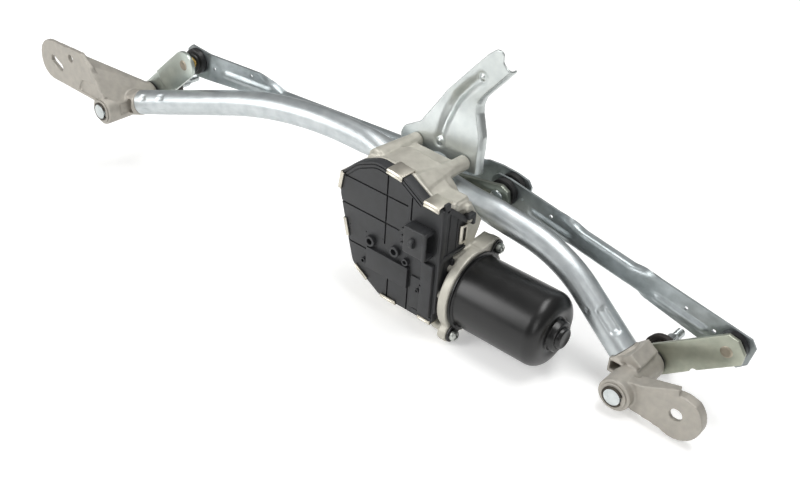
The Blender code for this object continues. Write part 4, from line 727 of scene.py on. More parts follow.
class LINKAGE_OT_spindles(bpy.types.Operator):
    """Wiper shafts with their splines and threads, and the washers, clips and caps on them"""
    bl_idname = "linkage.spindles"
    bl_label = "Wiper shafts"

    def execute(self, context):
        for side, axis in SHAFTS.items():
            body = side + "_spindle"
            face = FACES[side]
            cap = face + CAPS_AT[side]
            groove = face - 1.3
            tip = cap + 34.0
            thread = []
            for i in range(9):
                thread += [(tip - 12.0 + 1.25 * i, 2.9), (tip - 11.4 + 1.25 * i, 3.7)]
            shaft = turned(side + "_splined_shaft", [
                (face - 3.2, 0.0), (face - 3.2, 4.9), (face - 2.7, 6.1), (groove - 1.3, 6.5),
                (groove - 1.3, 5.7), (groove, 5.7), (groove, SHAFT_R), (LEVER_NEAR[side] + 10.0, SHAFT_R),
                (LEVER_NEAR[side] + 10.8, 6.0), (cap + 9.0, 6.0), (cap + 10.0, 4.9), (tip - 13.0, 4.4),
                (tip - 12.5, 2.9), *thread, (tip - 0.6, 3.0), (tip, 2.4), (tip, 0.0)], axis)
            splined_end(shaft, axis, cap + 10.0, tip - 13.0, 5.2)
            fit_out(shaft, "turned_bright_steel", body, (side + "_wiper_shaft",))
            washer = turned(side + "_plain_washer", [
                (groove + 0.15, 6.9), (groove + 0.15, 9.9), (groove + 0.4, 10.2), (face - 0.2, 10.2),
                (face - 0.2, 6.9)], axis)
            fit_out(washer, "blasted_pivot_casting", body, (side + "_retainer_washer",))
            ring = [polar(axis, 8.2, 25.0 + 310.0 * i / 40) for i in range(41)]
            ring += [polar(axis, 5.85, 335.0 - 310.0 * i / 40) for i in range(41)]
            clip = break_edges(plate(side + "_spring_ring", ring, groove - 1.15, groove - 0.15), 0.15)
            # The ring's near-black finish is painted shade that stands for the shadowed gap round the pin.
            fit_out(clip, "painted_shade_spring_ring", body, (side + "_retaining_clip",))
            end = face + BARRELS[side]
            thrust = turned(side + "_thrust_ring", [
                (end + 0.3, 6.9), (end + 0.3, 11.4), (end + 0.6, 11.6), (end + 1.5, 11.6),
                (end + 1.5, 6.9)], axis)
            fit_out(thrust, "acetal_cup", body, (side + "_thrust_washer",))
            seal = turned(side + "_rain_cap", [
                (cap, 6.3), (cap - 1.5, 6.3), (cap - 1.5, 8.2), (cap + 2.0, 8.7), (cap + 2.0, 11.2),
                (cap + 0.2, 11.7), (cap, 12.4), (cap + 0.2, 13.4), (cap + 1.0, 13.8), (cap + 2.0, 13.6),
                (cap + 2.6, 12.9), (cap + 3.2, 12.9), (cap + 3.8, 13.3), (cap + 5.2, 13.1), (cap + 6.4, 12.2),
                (cap + 7.0, 10.4), (cap + 7.0, 6.3)], axis)
            fit_out(seal, "seal_rubber", body, (side + "_seal_cap",))
        return {"FINISHED"}


# Levers, studs, cups and rods

class LINKAGE_OT_levers(bpy.types.Operator):
    """The flat right lever and the joggled left one, each with the rivet head of its stud"""
    bl_idname = "linkage.levers"
    bl_label = "Levers"

    def execute(self, context):
        half = context.scene.linkage_drive.lever_width * HALF_MM
        for side, axis in SHAFTS.items():
            radius = LEVER_RADII[side]
            heading = math.radians(LEVER_HEADINGS[side])
            near = LEVER_NEAR[side] + (LEVER_JOGGLE if side == "left" else 0.0)
            if side == "right":
                end = radius + 12.0
                tip = [(radius * 0.49 - 3.0, -half + 0.9), (radius * 0.49 - 1.0, -half + 2.6),
                       (radius * 0.49 + 1.0, -half + 2.6), (radius * 0.49 + 3.5, -half + 0.9),
                       (end - 5.5, -half + 1.0), (end, -5.0), (end, 6.0), (end - 5.5, half)]
            else:
                tip = round_end(half, radius, 1.0)
            outline = headed(axis, heading, round_end(half) + tip)
            item = plate(side + "_stamped_lever", outline, near, near + LEVER_THICK)
            if side == "left":
                joggle(item, axis, heading, radius * 0.36)
            break_edges(item, 0.45)
            hub = pin("hub", axis, near - 5.0, near + 9.0, SHAFT_R + GAP)
            cut(item, hub)
            finish_name, slot = (("clear_passivated_lever", "zinc_steel") if side == "left"
                                 else ("yellow_passivated_lever", "yellow_zinc_steel"))
            fit_out(item, finish_name, side + "_spindle", (side + "_lever",))
            spot_at = polar(axis, radius, LEVER_HEADINGS[side])
            low = LEVER_NEAR[side]
            rivet = turned(side + "_rivet_head", [
                (low + 0.4, 0.0), (low - 0.35, 0.0), (low - 0.3, 1.6), (low - 0.6, 2.6), (low - 0.5, 4.0),
                (low, 4.7), (low + 0.4, 4.7)], spot_at)
            fit_out(rivet, "dull_rivet", side + "_spindle")
        return {"FINISHED"}


def joggle(item, axis, heading, bend):
    """Sets the lever's outer part nearer, through two bends close together."""
    way = Vector((math.cos(heading), 0.0, math.sin(heading)))
    for offset in (-3.2, -2.2, 2.2, 3.2):
        spot_at = at(axis[0], 0.0, axis[1]) + way * (bend + offset) * MM
        edit(item, lambda: bpy.ops.mesh.bisect(plane_co=spot_at, plane_no=way))
    middle = at(axis[0], 0.0, axis[1])
    for vertex in item.data.vertices:
        along = (vertex.co - middle).dot(way) / MM
        vertex.co.y -= LEVER_JOGGLE * MM * ease((along - bend + 3.2) / 6.4)


def ball_arc(y, first, last, radius=BALL_R, steps=12):
    angles = (math.radians(first + (last - first) * i / steps) for i in range(steps + 1))
    return [(y - radius * math.cos(a), radius * math.sin(a)) for a in angles]


class LINKAGE_OT_studs(bpy.types.Operator):
    """Ball studs of both levers and the double one on the crank"""
    bl_idname = "linkage.studs"
    bl_label = "Ball studs"

    def execute(self, context):
        for side, ball, y, finish_name in (("left", LEFT_BALL, LEFT_BALL_Y, "gold_passivated_stud"),
                                           ("right", RIGHT_BALL, NEAR_BALL_Y, "turned_bright_steel")):
            base = LEVER_NEAR[side] + LEVER_THICK + GAP
            profile = [(base, 0.0), (base, 4.3), (base + 0.3, 4.6), (base + 0.8, 4.6)]
            if y - base - 0.8 > BALL_R:
                profile.append((base + 0.8, 3.5))
            first = max(math.asin(3.5 / BALL_R), math.acos(min(1.0, (y - base - 0.8) / BALL_R)))
            first = math.degrees(first)
            profile += [*ball_arc(y, first, 176.0), (y + BALL_R, 0.0)]
            stud = turned(side + "_ball_stud", profile, ball)
            fit_out(stud, finish_name, side + "_rod", (side + "_lever_stud",))
        profile = [(51.0, 0.0), (51.0, 4.4), (51.3, 5.2), (51.7, 5.6), (51.7, 4.0), (56.3, 4.0), (56.3, 4.4),
                   (56.6, 4.6), (57.1, 4.6), *ball_arc(NEAR_BALL_Y, 52.0, 144.0),
                   *ball_arc(FAR_BALL_Y, 36.0, 176.0), (FAR_BALL_Y + BALL_R, 0.0)]
        stud = turned("double_ball_stud", profile, CRANK_BALL)
        fit_out(stud, "turned_bright_steel", "crank", ("crank_ball_stud",))
        return {"FINISHED"}


class LINKAGE_OT_cups(bpy.types.Operator):
    """Moulded cups that hold the rods on the balls"""
    bl_idname = "linkage.cups"
    bl_label = "Ball cups"

    def execute(self, context):
        clearance = BALL_R + 0.3
        mouth = math.degrees(math.asin(5.3 / clearance))
        for node_name, ball, y, body, through in (
                ("left_lever_socket", LEFT_BALL, LEFT_BALL_Y, "left_rod", False),
                ("right_lever_socket", RIGHT_BALL, NEAR_BALL_Y, "right_rod", False),
                ("crank_near_socket", CRANK_BALL, NEAR_BALL_Y, "right_rod", True),
                ("crank_far_socket", CRANK_BALL, FAR_BALL_Y, "left_rod", False)):
            near, sheet = y - 4.0, y + 4.0
            top = sheet + 2.3
            shell = [(near + 0.5, 5.9), (near, 6.4), (near, 8.0), (near + 0.4, 8.6), (near + 1.9, 8.8),
                     (near + 2.1, 10.4), (near + 2.6, 11.4), (sheet - 1.2, 11.6), (sheet - GAP, 10.9),
                     (sheet - GAP, 7.5), (top, 7.5), (top, 9.3)]
            if through:
                profile = shell + [(top + 0.4, 9.0), (top + 0.6, 8.2), (top + 0.6, 4.2)]
                profile += list(reversed(ball_arc(y, mouth, 143.0, clearance)))
            else:
                profile = shell + [(top + 1.4, 9.3), (top + 2.0, 8.6), (top + 2.2, 7.6), (top + 1.6, 7.2),
                                   (top + 1.6, 0.0)]
                profile += [(y + clearance, 0.0), *reversed(ball_arc(y, mouth, 176.0, clearance))]
            cup = turned(node_name.replace("socket", "cup"), profile, ball)
            fit_out(cup, "acetal_cup", body, (node_name,), 30.0)
        return {"FINISHED"}


ROD_WEB_HALF = 7.25


def fold(reach, half, radius, turn):
    """A point of a folded sheet: its distance across and its rise, from its distance along the sheet."""
    flat = max(0.0, half - radius * math.tan(turn / 2))
    if reach <= flat or turn < 0.001:
        return reach, 0.0
    arc = radius * turn
    if reach <= flat + arc:
        share = (reach - flat) / radius
        return flat + radius * math.sin(share), radius * (1.0 - math.cos(share))
    rest = reach - flat - arc
    return (flat + radius * math.sin(turn) + rest * math.cos(turn),
            radius * (1.0 - math.cos(turn)) + rest * math.sin(turn))


def rod(name, start, end, levels, outline, folds, beads, holes):
    """A stamped rod: a sheet that is flat at its ends and folds up into a channel between them."""
    length = math.hypot(end[0] - start[0], end[1] - start[1])
    along = ((end[0] - start[0]) / length, (end[1] - start[1]) / length)
    up = (-along[1], along[0]) if along[0] > 0 else (along[1], -along[0])
    first, last = outline[0][0], outline[-1][0]

    def point(distance, above, rise):
        level = spread(((15.0, levels[0]), (length - 15.0, levels[1])), distance)[0]
        return (start[0] + along[0] * distance + up[0] * above, level + rise,
                start[1] + along[1] * distance + up[1] * above)

    def where(s, t):
        distance = first + (s + 0.5) * (last - first)
        middle, half = spread(outline, distance)
        across = t * 2.0
        turn = math.radians(90.0) * ease(spread(folds, distance)[0])
        shift, rise = fold(abs(across) * half, ROD_WEB_HALF, 2.2, turn)
        above = middle + math.copysign(shift, across)
        rise += 1.0
        for bead_start, bead_end, bead_at, bead_half in beads:
            length_share = ease((distance - bead_start) / 7.0) * ease((bead_end - distance) / 7.0)
            rise -= 1.7 * length_share * ease(1.0 - abs(above - bead_at) / bead_half)
        return point(distance, above, rise)

    item = edit(grid(name, round((last - first) / 1.4), 36, where), close_up)
    apply_modifier(item, "SOLIDIFY", thickness=SHEET_THICK * MM, offset=0.0, use_even_offset=False)
    for distance, above, radius in holes:
        cut(item, bar("hole", point(distance, above, -9.0), point(distance, above, 12.0), radius, 24))
    return item


class LINKAGE_OT_rods(bpy.types.Operator):
    """Stamped link rods with their folded channels, beads and holes"""
    bl_idname = "linkage.rods"
    bl_label = "Link rods"

    def execute(self, context):
        long_rod = math.hypot(LEFT_BALL[0] - CRANK_BALL[0], LEFT_BALL[1] - CRANK_BALL[1])
        short_rod = math.hypot(RIGHT_BALL[0] - CRANK_BALL[0], RIGHT_BALL[1] - CRANK_BALL[1])
        for name, end, levels, flats, top, beads, holes, node_name, body in (
                ("short_stamped_rod", RIGHT_BALL, (65.0, 65.0), (50.0, 68.0), 5.0,
                 ((22.0, 66.0, -3.6, 4.4), (136.0, 187.0, -4.5, 4.8)),
                 ((0.0, 0.0, 7.8), (short_rod, 0.0, 7.8), (15.6, 1.5, 1.0), (43.0, 3.3, 1.6),
                  (164.6, 2.6, 1.6), (189.0, -0.5, 1.6)), "right_link_rod", "right_rod"),
                ("long_stamped_rod", LEFT_BALL, (76.5, 12.7), (26.0, 66.0), -1.5,
                 ((long_rod - 84.0, long_rod - 27.0, -2.0, 4.8),),
                 ((0.0, 0.0, 7.8), (long_rod, 0.0, 7.8), (long_rod - 20.0, -1.0, 1.6),
                  (long_rod - 58.0, 6.0, 1.6)),
                 "left_link_rod", "left_rod")):
            length = long_rod if name.startswith("long") else short_rod
            near, far = flats
            channel = (top - ROD_WEB_HALF, 13.0)
            outline = ((-15.0, -0.5, 5.5), (-11.0, -0.5, 10.5), (0.0, -0.75, 12.25), (near, -0.25, 11.75),
                       (near + 22.0, *channel), (length - far - 22.0, *channel), (length - far, 0.25, 11.25),
                       (length - 15.0, -1.25, 12.75), (length, -2.5, 14.0), (length + 9.0, -2.5, 14.0),
                       (length + 14.5, -1.5, 7.5))
            folds = ((near - 3.0, 0.0), (near + 22.0, 1.0), (length - far - 22.0, 1.0),
                     (length - far + 3.0, 0.0))
            item = rod(name, CRANK_BALL, end, levels, outline, folds, beads, holes)
            fit_out(item, "zinc_plated_sheet", body, (node_name,), 42.0)
        return {"FINISHED"}


class LINKAGE_OT_crank(bpy.types.Operator):
    """Crank arm and the nut that holds it on the output shaft"""
    bl_idname = "linkage.crank"
    bl_label = "Crank"

    def execute(self, context):
        heading = math.radians(CRANK_HEADING)
        outline = round_end(11.5) + [(49.6, -10.0), (54.6, -5.0), (54.6, 5.5), (48.6, 10.0)]
        arm = plate("stamped_crank_arm", headed(OUTPUT_AXIS, heading, outline), CRANK_NEAR, CRANK_FAR)
        break_edges(arm, 0.5)
        cut(arm, pin("shaft", OUTPUT_AXIS, 48.0, 60.0, STUD_HOLE_R),
            pin("stud", CRANK_BALL, 48.0, 60.0, STUD_HOLE_R))
        fit_out(arm, "dull_passivated_crank", "crank", ("crank_arm",))
        nut = break_edges(plate("crank_lock_nut", circle(OUTPUT_AXIS, 7.5, 6), 56.3, 62.3), 0.7)
        cut(nut, pin("thread", OUTPUT_AXIS, 50.0, 70.0, STUD_HOLE_R))
        fit_out(nut, "zinc_plated_screw", "crank", ("crank_nut",))
        return {"FINISHED"}


# Gear motor

class LINKAGE_OT_gear_housing(bpy.types.Operator):
    """Cast gear housing with its bosses, bridge, worm barrel and motor flange"""
    bl_idname = "linkage.gear_housing"
    bl_label = "Gear housing"

    def execute(self, context):
        size = context.scene.linkage_motor
        low = SEAM + GAP
        outline = rounded(OUTLINE)
        item = plate("gear_casting", inset(outline, 2.5), low + 1.0, HOUSING_BACK)
        corner = box("corner", -170.5, COVER_RIGHT + 5.0, 6.0, HOUSING_BACK + 3.0, 74.0, 120.0)
        cut(corner, pin("drum", OUTPUT_AXIS, 0.0, 30.0, 43.6, 96))
        cut(item, corner)
        add(item, plate("lip", outline, low, low + 3.5))
        cut(item, box("bay", -167.3, COVER_RIGHT + 5.0, low - 3.0, -7.9, 9.7, 95.3))
        y, z = MOTOR_AXIS
        flange = CAN_START - 8.3
        add(item, box("shelf", COVER_RIGHT - 3.5, COVER_RIGHT + 1.8, -7.9, -4.9, 10.0, 50.0),
            bar("worm_barrel", (-233.0, y, z), (flange + 2.0, y, z), 13.2),
            bar("flange", (flange, y, z), (CAN_START - GAP, y, z), FLANGE_R, 64))
        for spot_at in EAR_SPOTS:
            add(item, plate("ear", slot_outline(MOTOR_AXIS, spot_at, 7.5), flange + 0.4, CAN_START - 0.5,
                            "X"))
        add(item, pin("output_boss", OUTPUT_AXIS, 11.2, 48.0, 7.8),
            plate("ear_block", ((13.0, 44.0), (11.0, 53.6), (31.5, 55.4), (37.0, 51.0), (36.0, 43.0)), -145.5,
                  CAN_START - 0.5, "X"),
            solid_hull("cast_block", (
                (-146.0, -9.5, 43.0), (-146.0, -9.5, 50.5), (-146.0, 11.0, 55.0), (-146.0, 12.0, 43.0),
                (-132.5, -6.0, 42.0), (-132.5, -4.5, 50.4), (-132.5, 11.0, 54.0), (-132.5, 12.0, 43.0))),
            plate("wedge", ((3.6, 51.0), (3.6, 92.0), (8.0, 92.0), (14.0, 82.0), (23.5, 70.5), (21.5, 64.5),
                            (14.5, 51.0)), -150.0, COVER_RIGHT + 0.3, "X"))
        left, right = BOSSES
        for centre in BOSSES:
            add(item, pin("boss", centre, low + 6.0, BOSS_END, 6.2))
        add(item, pin("left_boss_root", left, -8.0, BOSS_END - 6.0, 8.6, end_radius=6.2),
            plate("bridge", ((left[0], 95.0), (right[0], 95.0), (right[0], 102.6), (left[0], 103.4)), 7.2,
                  31.7),
            solid_hull("gusset", (
                (-184.5, -15.0, 107.5), (-178.0, -15.0, 109.5), (-167.0, -15.0, 102.0), (-168.0, -15.0, 94.0),
                (-184.0, -15.0, 94.0), (-181.5, 30.0, 102.4), (-177.5, 30.0, 105.7), (-172.0, 30.0, 104.4),
                (-169.9, 30.0, 99.0), (-173.0, 30.0, 94.2), (-180.0, 30.0, 94.8))),
            solid_hull("shoulder", (
                (-163.5, -15.5, 95.6), (COVER_RIGHT + 0.2, -15.5, 95.2), (COVER_RIGHT - 0.8, 6.0, 95.2),
                (-162.5, 6.0, 95.6), (-163.5, -15.5, 88.0), (COVER_RIGHT + 0.2, -15.5, 91.0),
                (COVER_RIGHT - 0.8, 6.0, 88.0), (-162.5, 6.0, 84.0))))
        for x, y_at, z_at, reach in ((-139.6, 1.2, 91.2, 2.6), (-139.8, 6.4, 78.6, 2.2),
                                     (-141.0, -13.5, 98.2, 2.4)):
            add(item, box("hook", x - 8.0, x, y_at - reach, y_at + reach, z_at - 2.4, z_at + 2.4, 0.6))
        for y_at, z_at, half in ((-23.1, 25.1, 3.1), (-19.5, -6.4, 3.6), (-11.0, 42.0, 3.2)):
            add(item, bar("stud", (-147.0, y_at, z_at), (-137.6, y_at, z_at), half, 24))
        cut(item, pin("gear_room", OUTPUT_AXIS, low - 2.0, HOUSING_BACK - 2.5, GEAR_ROOM_R, 96),
            bar("tunnel", (-231.0, y, z), (CAN_START - 7.0, y, z), 10.2),
            bar("motor_room", (CAN_START - 3.0, y, z), (CAN_START + 3.0, y, z), 23.8),
            bar("bearing", (CAN_START - 13.0, y, z), (CAN_START + 1.0, y, z), 7.5),
            pin("bush", OUTPUT_AXIS, HOUSING_BACK - 8.0, 53.0, SHAFT_R))
        for centre in BOSSES:
            cut(item, pin("bolt", centre, BOSS_END - 22.0, BOSS_END + 3.0, BOLT_HOLE_R))
        cast_skin(item, size.casting_grain / MM, 2)
        for u, v in EAR_SPOTS:
            cut(item, bar("screw", (flange - 3.0, u, v), (CAN_START + 3.0, u, v), 2.8))
        fit_out(item, "blasted_gear_casting", "frame", ("gear_housing",), 60.0)
        return {"FINISHED"}


COVER_LINES = (
    ((-236.0, 90.0), (-174.0, 90.0)), ((-240.0, 66.0), (-181.0, 66.0)), ((-230.0, 34.0), (-213.0, 34.0)),
    ((-193.8, 110.0), (-193.8, 48.0)), ((-170.0, 98.0), (-170.0, 80.0)), ((-188.7, 20.0), (-188.7, -1.0)),
    ((-168.7, 20.0), (-168.7, -1.0)))
COVER_CUPS = ((-206.7, 44.5, 4.5), (-182.2, 46.7, 4.5), (-171.0, 42.8, 3.0), (-212.5, 24.0, 2.4),
              (-157.5, 23.4, 1.7), (-154.5, 30.4, 1.5))


def arc_band(name, outline, outer, inner, first, last, low, high):
    """A strip that follows part of an outline, between two distances inside it."""
    count = len(outline)
    picks = [i for i in range(count) if first(outline[i]) and last(outline[i])]
    far, near = inset(outline, outer), inset(outline, inner)
    strip = [far[i] for i in picks] + [near[i] for i in reversed(picks)]
    return plate(name, strip, low, high)


class LINKAGE_OT_gear_cover(bpy.types.Operator):
    """Moulded cover with its electronics bay, connector, bare plate, cups and grooves"""
    bl_idname = "linkage.gear_cover"
    bl_label = "Gear cover"

    def execute(self, context):
        front = COVER_FRONT
        outline = rounded(OUTLINE)
        item = break_edges(plate("moulded_gear_cover", outline, front, SEAM), 0.7, 3)
        bay = box("bay", -167.0, COVER_RIGHT - 0.4, front + 1.0, -8.2, 10.0, 95.0)
        shelf = box("shelf", COVER_RIGHT - 3.0, COVER_RIGHT + 1.8, -11.2, -8.4, 11.0, 50.0, 0.5)
        wall = plate("side_wall", ((front + 5.0, 56.0), (front + 5.0, 96.4), (-17.5, 96.4), (1.5, 80.5),
                                   (3.0, 56.0)),
                     COVER_RIGHT - 2.1, COVER_RIGHT + 0.6, "X")
        ledge = plate("side_ledge", ((front + 3.0, 53.2), (front + 3.0, 57.2), (3.2, 57.2), (3.2, 55.0)),
                      COVER_RIGHT - 2.1, COVER_RIGHT + 1.8, "X")
        post = box("post", COVER_RIGHT - 3.0, COVER_RIGHT + 1.6, front + 0.2, front + 6.4, 8.0, 98.6, 1.2)
        rim = plate("side_rim", ((front + 5.0, 95.0), (-17.0, 97.5), (2.6, 82.0), (2.6, 77.5), (-1.0, 79.0),
                                 (-18.5, 93.5), (front + 5.0, 92.0)), COVER_RIGHT - 2.0, COVER_RIGHT + 1.6,
                                 "X")
        add(item, bay, shelf, wall, ledge, post, rim)
        add(item, *[plate("side_rib", ((y_at, 56.0), (y_at, top), (y_at + 0.9, top - 0.8),
                                       (y_at + 0.9, 56.0)),
                          COVER_RIGHT - 2.0, COVER_RIGHT + 1.1, "X") for y_at,
                          top in ((-17.6, 93.0), (-8.0, 85.0))])
        for y0, y1, z0, z1, x in ((-24.5, -19.0, 97.0, 103.0, 1.6), (1.0, 9.5, 80.4, 84.4, 4.4),
                                  (6.4, 9.5, 74.6, 84.4, 4.4)):
            add(item, box("catch", COVER_RIGHT - 1.5, COVER_RIGHT + x, y0, y1, z0, z1, 0.9))
        cut(item, plate("room", inset(outline, 2.2), front + 2.2, SEAM + 1.0),
            box("bay_room", -164.8, COVER_RIGHT - 2.6, front + 2.0, -7.2, 12.2, 92.8))
        sheet = plate("populated_board", inset(outline, 2.6), front + 2.5, front + 4.1)
        fit_out(sheet, "circuit_board", "frame", ("control_board",))
        for (u0, v0), (u1, v1) in COVER_LINES:
            cut(item, box("groove", min(u0, u1) - 0.7, max(u0, u1) + 0.7, front - 1.0, front + 1.3,
                          min(v0, v1) - 0.7, max(v0, v1) + 0.7))
        for reach in (1.6, 4.4):
            cut(item, arc_band("rim_line", outline, reach, reach + 0.9, lambda p: p[1] > 90.0,
                               lambda p: -239.5 < p[0] < -190.0, front - 1.0, front + 1.0))
        edge = [(-179.5, 111.4), (-159.0, 99.0)]
        way = (Vector(edge[1]) - Vector(edge[0])).normalized()
        inward = Vector((way.y, -way.x))
        for reach in (1.8, 4.6):
            a, b = (Vector(p) + inward * reach for p in edge)
            cut(item, plate("rim_line", [tuple(a), tuple(b), tuple(b + inward * 0.9),
                                         tuple(a + inward * 0.9)],
                            front - 1.0, front + 1.0))
        add(item, box("bare_plate", -209.6, -167.8, front - 3.2, front + 0.5, 20.2, 38.8, 0.35),
            box("side_block", -155.0, COVER_RIGHT - 1.4, front - 3.4, front + 0.5, 5.0, 52.0, 0.7),
            box("lower_step", -165.3, -154.0, front - 1.3, front + 0.5, 5.0, 33.6, 0.4),
            box("lower_edge", -163.0, COVER_RIGHT - 0.8, front - 0.9, front + 0.5, 0.5, 4.0, 0.4))
        for u, v, radius in COVER_CUPS:
            add(item, turned("cup", [(front + 0.5, 0.0), (front - 3.2, 0.0), (front - 3.2, radius - 0.3),
                                     (front - 2.8, radius), (front + 0.5, radius)], (u, v), sides=32))
            cut(item, bar("well", (u, front - 5.0, v), (u, front + 0.2, v), radius * 0.58, 24))
        for u in (-230.0, -213.0, -196.0, -170.0, -160.0):
            add(item, turned("pip", [(front + 0.3, 0.0), (front - 0.5, 0.0), (front - 0.4, 0.5),
                                     (front + 0.3, 0.8)],
                             (u, 60.0 + 0.05 * u), sides=16))
        add(item, *connector_shell(front))
        cut(item, box("socket_room", -164.0, -140.0, front - 9.0, front - 0.2, 60.2, 78.8, 1.0))
        fit_out(item, "glass_filled_nylon", "frame", ("gear_cover",), 30.0)
        pins = box("connector_blades", -163.6, -161.6, front - 8.6, front - 0.6, 60.8, 78.2, 0.3)
        add(pins, *[box("blade", -162.0, -155.0, front - 5.0, front - 4.2, z - 1.2, z + 1.2)
                    for z in (64.0, 69.5, 75.0)])
        fit_out(pins, "nickel_plated_spring", "frame", ("connector_pins",))
        return {"FINISHED"}


def connector_shell(front):
    """The connector's housing with its bead round the mouth, its latch loop and its fins."""
    shell = box("connector", -168.5, -147.4, front - 10.6, front + 0.5, 58.0, 81.0, 1.6, 4)
    lip = box("mouth_lip", -150.2, -146.9, front - 11.1, front + 0.5, 57.6, 81.4, 1.2)
    loop = turned("latch_loop", [(-160.6, 0.0), (-160.6, 3.6), (-159.8, 4.4), (-157.6, 4.4), (-156.8, 3.6),
                                 (-156.8, 0.0)], (front - 10.4, 69.8), "X", 32)
    fins = [box("fin", -174.5, -168.0, front - 6.0, front + 0.3, z - 1.4, z + 1.4, 0.8)
            for z in (60.0, 66.2, 72.6)]
    foot = box("foot", -167.0, -149.0, front - 1.8, front + 0.5, 55.4, 58.6, 0.6)
    return [shell, lip, loop, foot, *fins]


COVER_CLIPS = (
    (-239.5, 84.0, 15.0), (-187.3, 112.0, 15.0), (-151.6, 100.0, 14.5), (-237.0, 44.2, 15.0),
    (-217.0, 9.0, 15.0), (-186.8, -2.0, 15.0), (-150.3, -2.0, 12.0))


def spring_clip(name, reach, lip, length, front, back):
    """A C-shaped spring clip along Z: a ribbed lip over the cover, its web, and the hook behind."""
    t = 0.8
    profile = ((-lip, front - t - 0.5), (-lip + 0.9, front - t - 0.5), (-lip + 1.3, front - t),
               (reach - 1.6, front - t), (reach - 1.2, front - t - 0.4), (reach - 0.4, front - t - 0.4),
               (reach + t, front - 0.2), (reach + t, back + t - 0.3), (reach + t - 0.3, back + t),
               (-1.6, back + t), (-1.6, back), (reach, back), (reach, front), (-lip, front))
    item = loose(name, [Vector((u, v, -length / 2)) * MM for u, v in profile], "NGON")
    raise_up(item, Vector((0.0, 0.0, length * MM)))
    return break_edges(item, 0.22, 2, 30.0)


class LINKAGE_OT_clips(bpy.types.Operator):
    """Eight spring clips that hold the cover on the gear housing"""
    bl_idname = "linkage.clips"
    bl_label = "Cover clips"

    def execute(self, context):
        coarse = rounded(OUTLINE, 30.0)
        front, back = COVER_FRONT - GAP, SEAM + 2 * GAP + 3.5
        for number, (x, z, length) in enumerate(COVER_CLIPS, 1):
            spot_at = Vector((x, z))
            pairs = [(Vector(coarse[i - 1]), Vector(p)) for i, p in enumerate(coarse)]

            def away(pair):
                a, b = pair
                share = min(1.0, max(0.0, (spot_at - a).dot(b - a) / (b - a).length_squared))
                return (a.lerp(b, share) - spot_at).length

            a, b = min(pairs, key=away)
            along = (b - a).normalized()
            outward = Vector((-along.y, along.x))
            centre = a + along * (spot_at - a).dot(along)
            reach = max((Vector(p) - centre).dot(outward) for p in coarse
                        if abs((Vector(p) - centre).dot(along)) < length / 2 + 4.0)
            reach = max(reach, 0.0) + GAP
            clip = spring_clip(f"spring_clip_{number}", reach, 3.0, length, front, back)
            basis = Matrix(((outward.x, 0.0, along.x, 0.0), (0.0, 1.0, 0.0, 0.0),
                            (outward.y, 0.0, along.y, 0.0), (0.0, 0.0, 0.0, 1.0)))
            clip.data.transform(Matrix.Translation(at(centre.x, 0.0, centre.y)) @ basis)
            edit(clip, close_up)
            fit_out(clip, "nickel_plated_spring", "frame", (f"cover_clip_{number}",))
        clip = spring_clip("spring_clip_8", 2.1, -0.9, 15.5, -3.9, 1.6)
        clip.data.transform(Matrix.Translation(at(COVER_RIGHT, 0.0, 69.4)))
        cut(clip, box("gap", COVER_RIGHT + 1.4, COVER_RIGHT + 4.0, -3.0, 0.6, 63.4, 75.4))
        fit_out(clip, "nickel_plated_spring", "frame", ("cover_clip_8",))
        return {"FINISHED"}


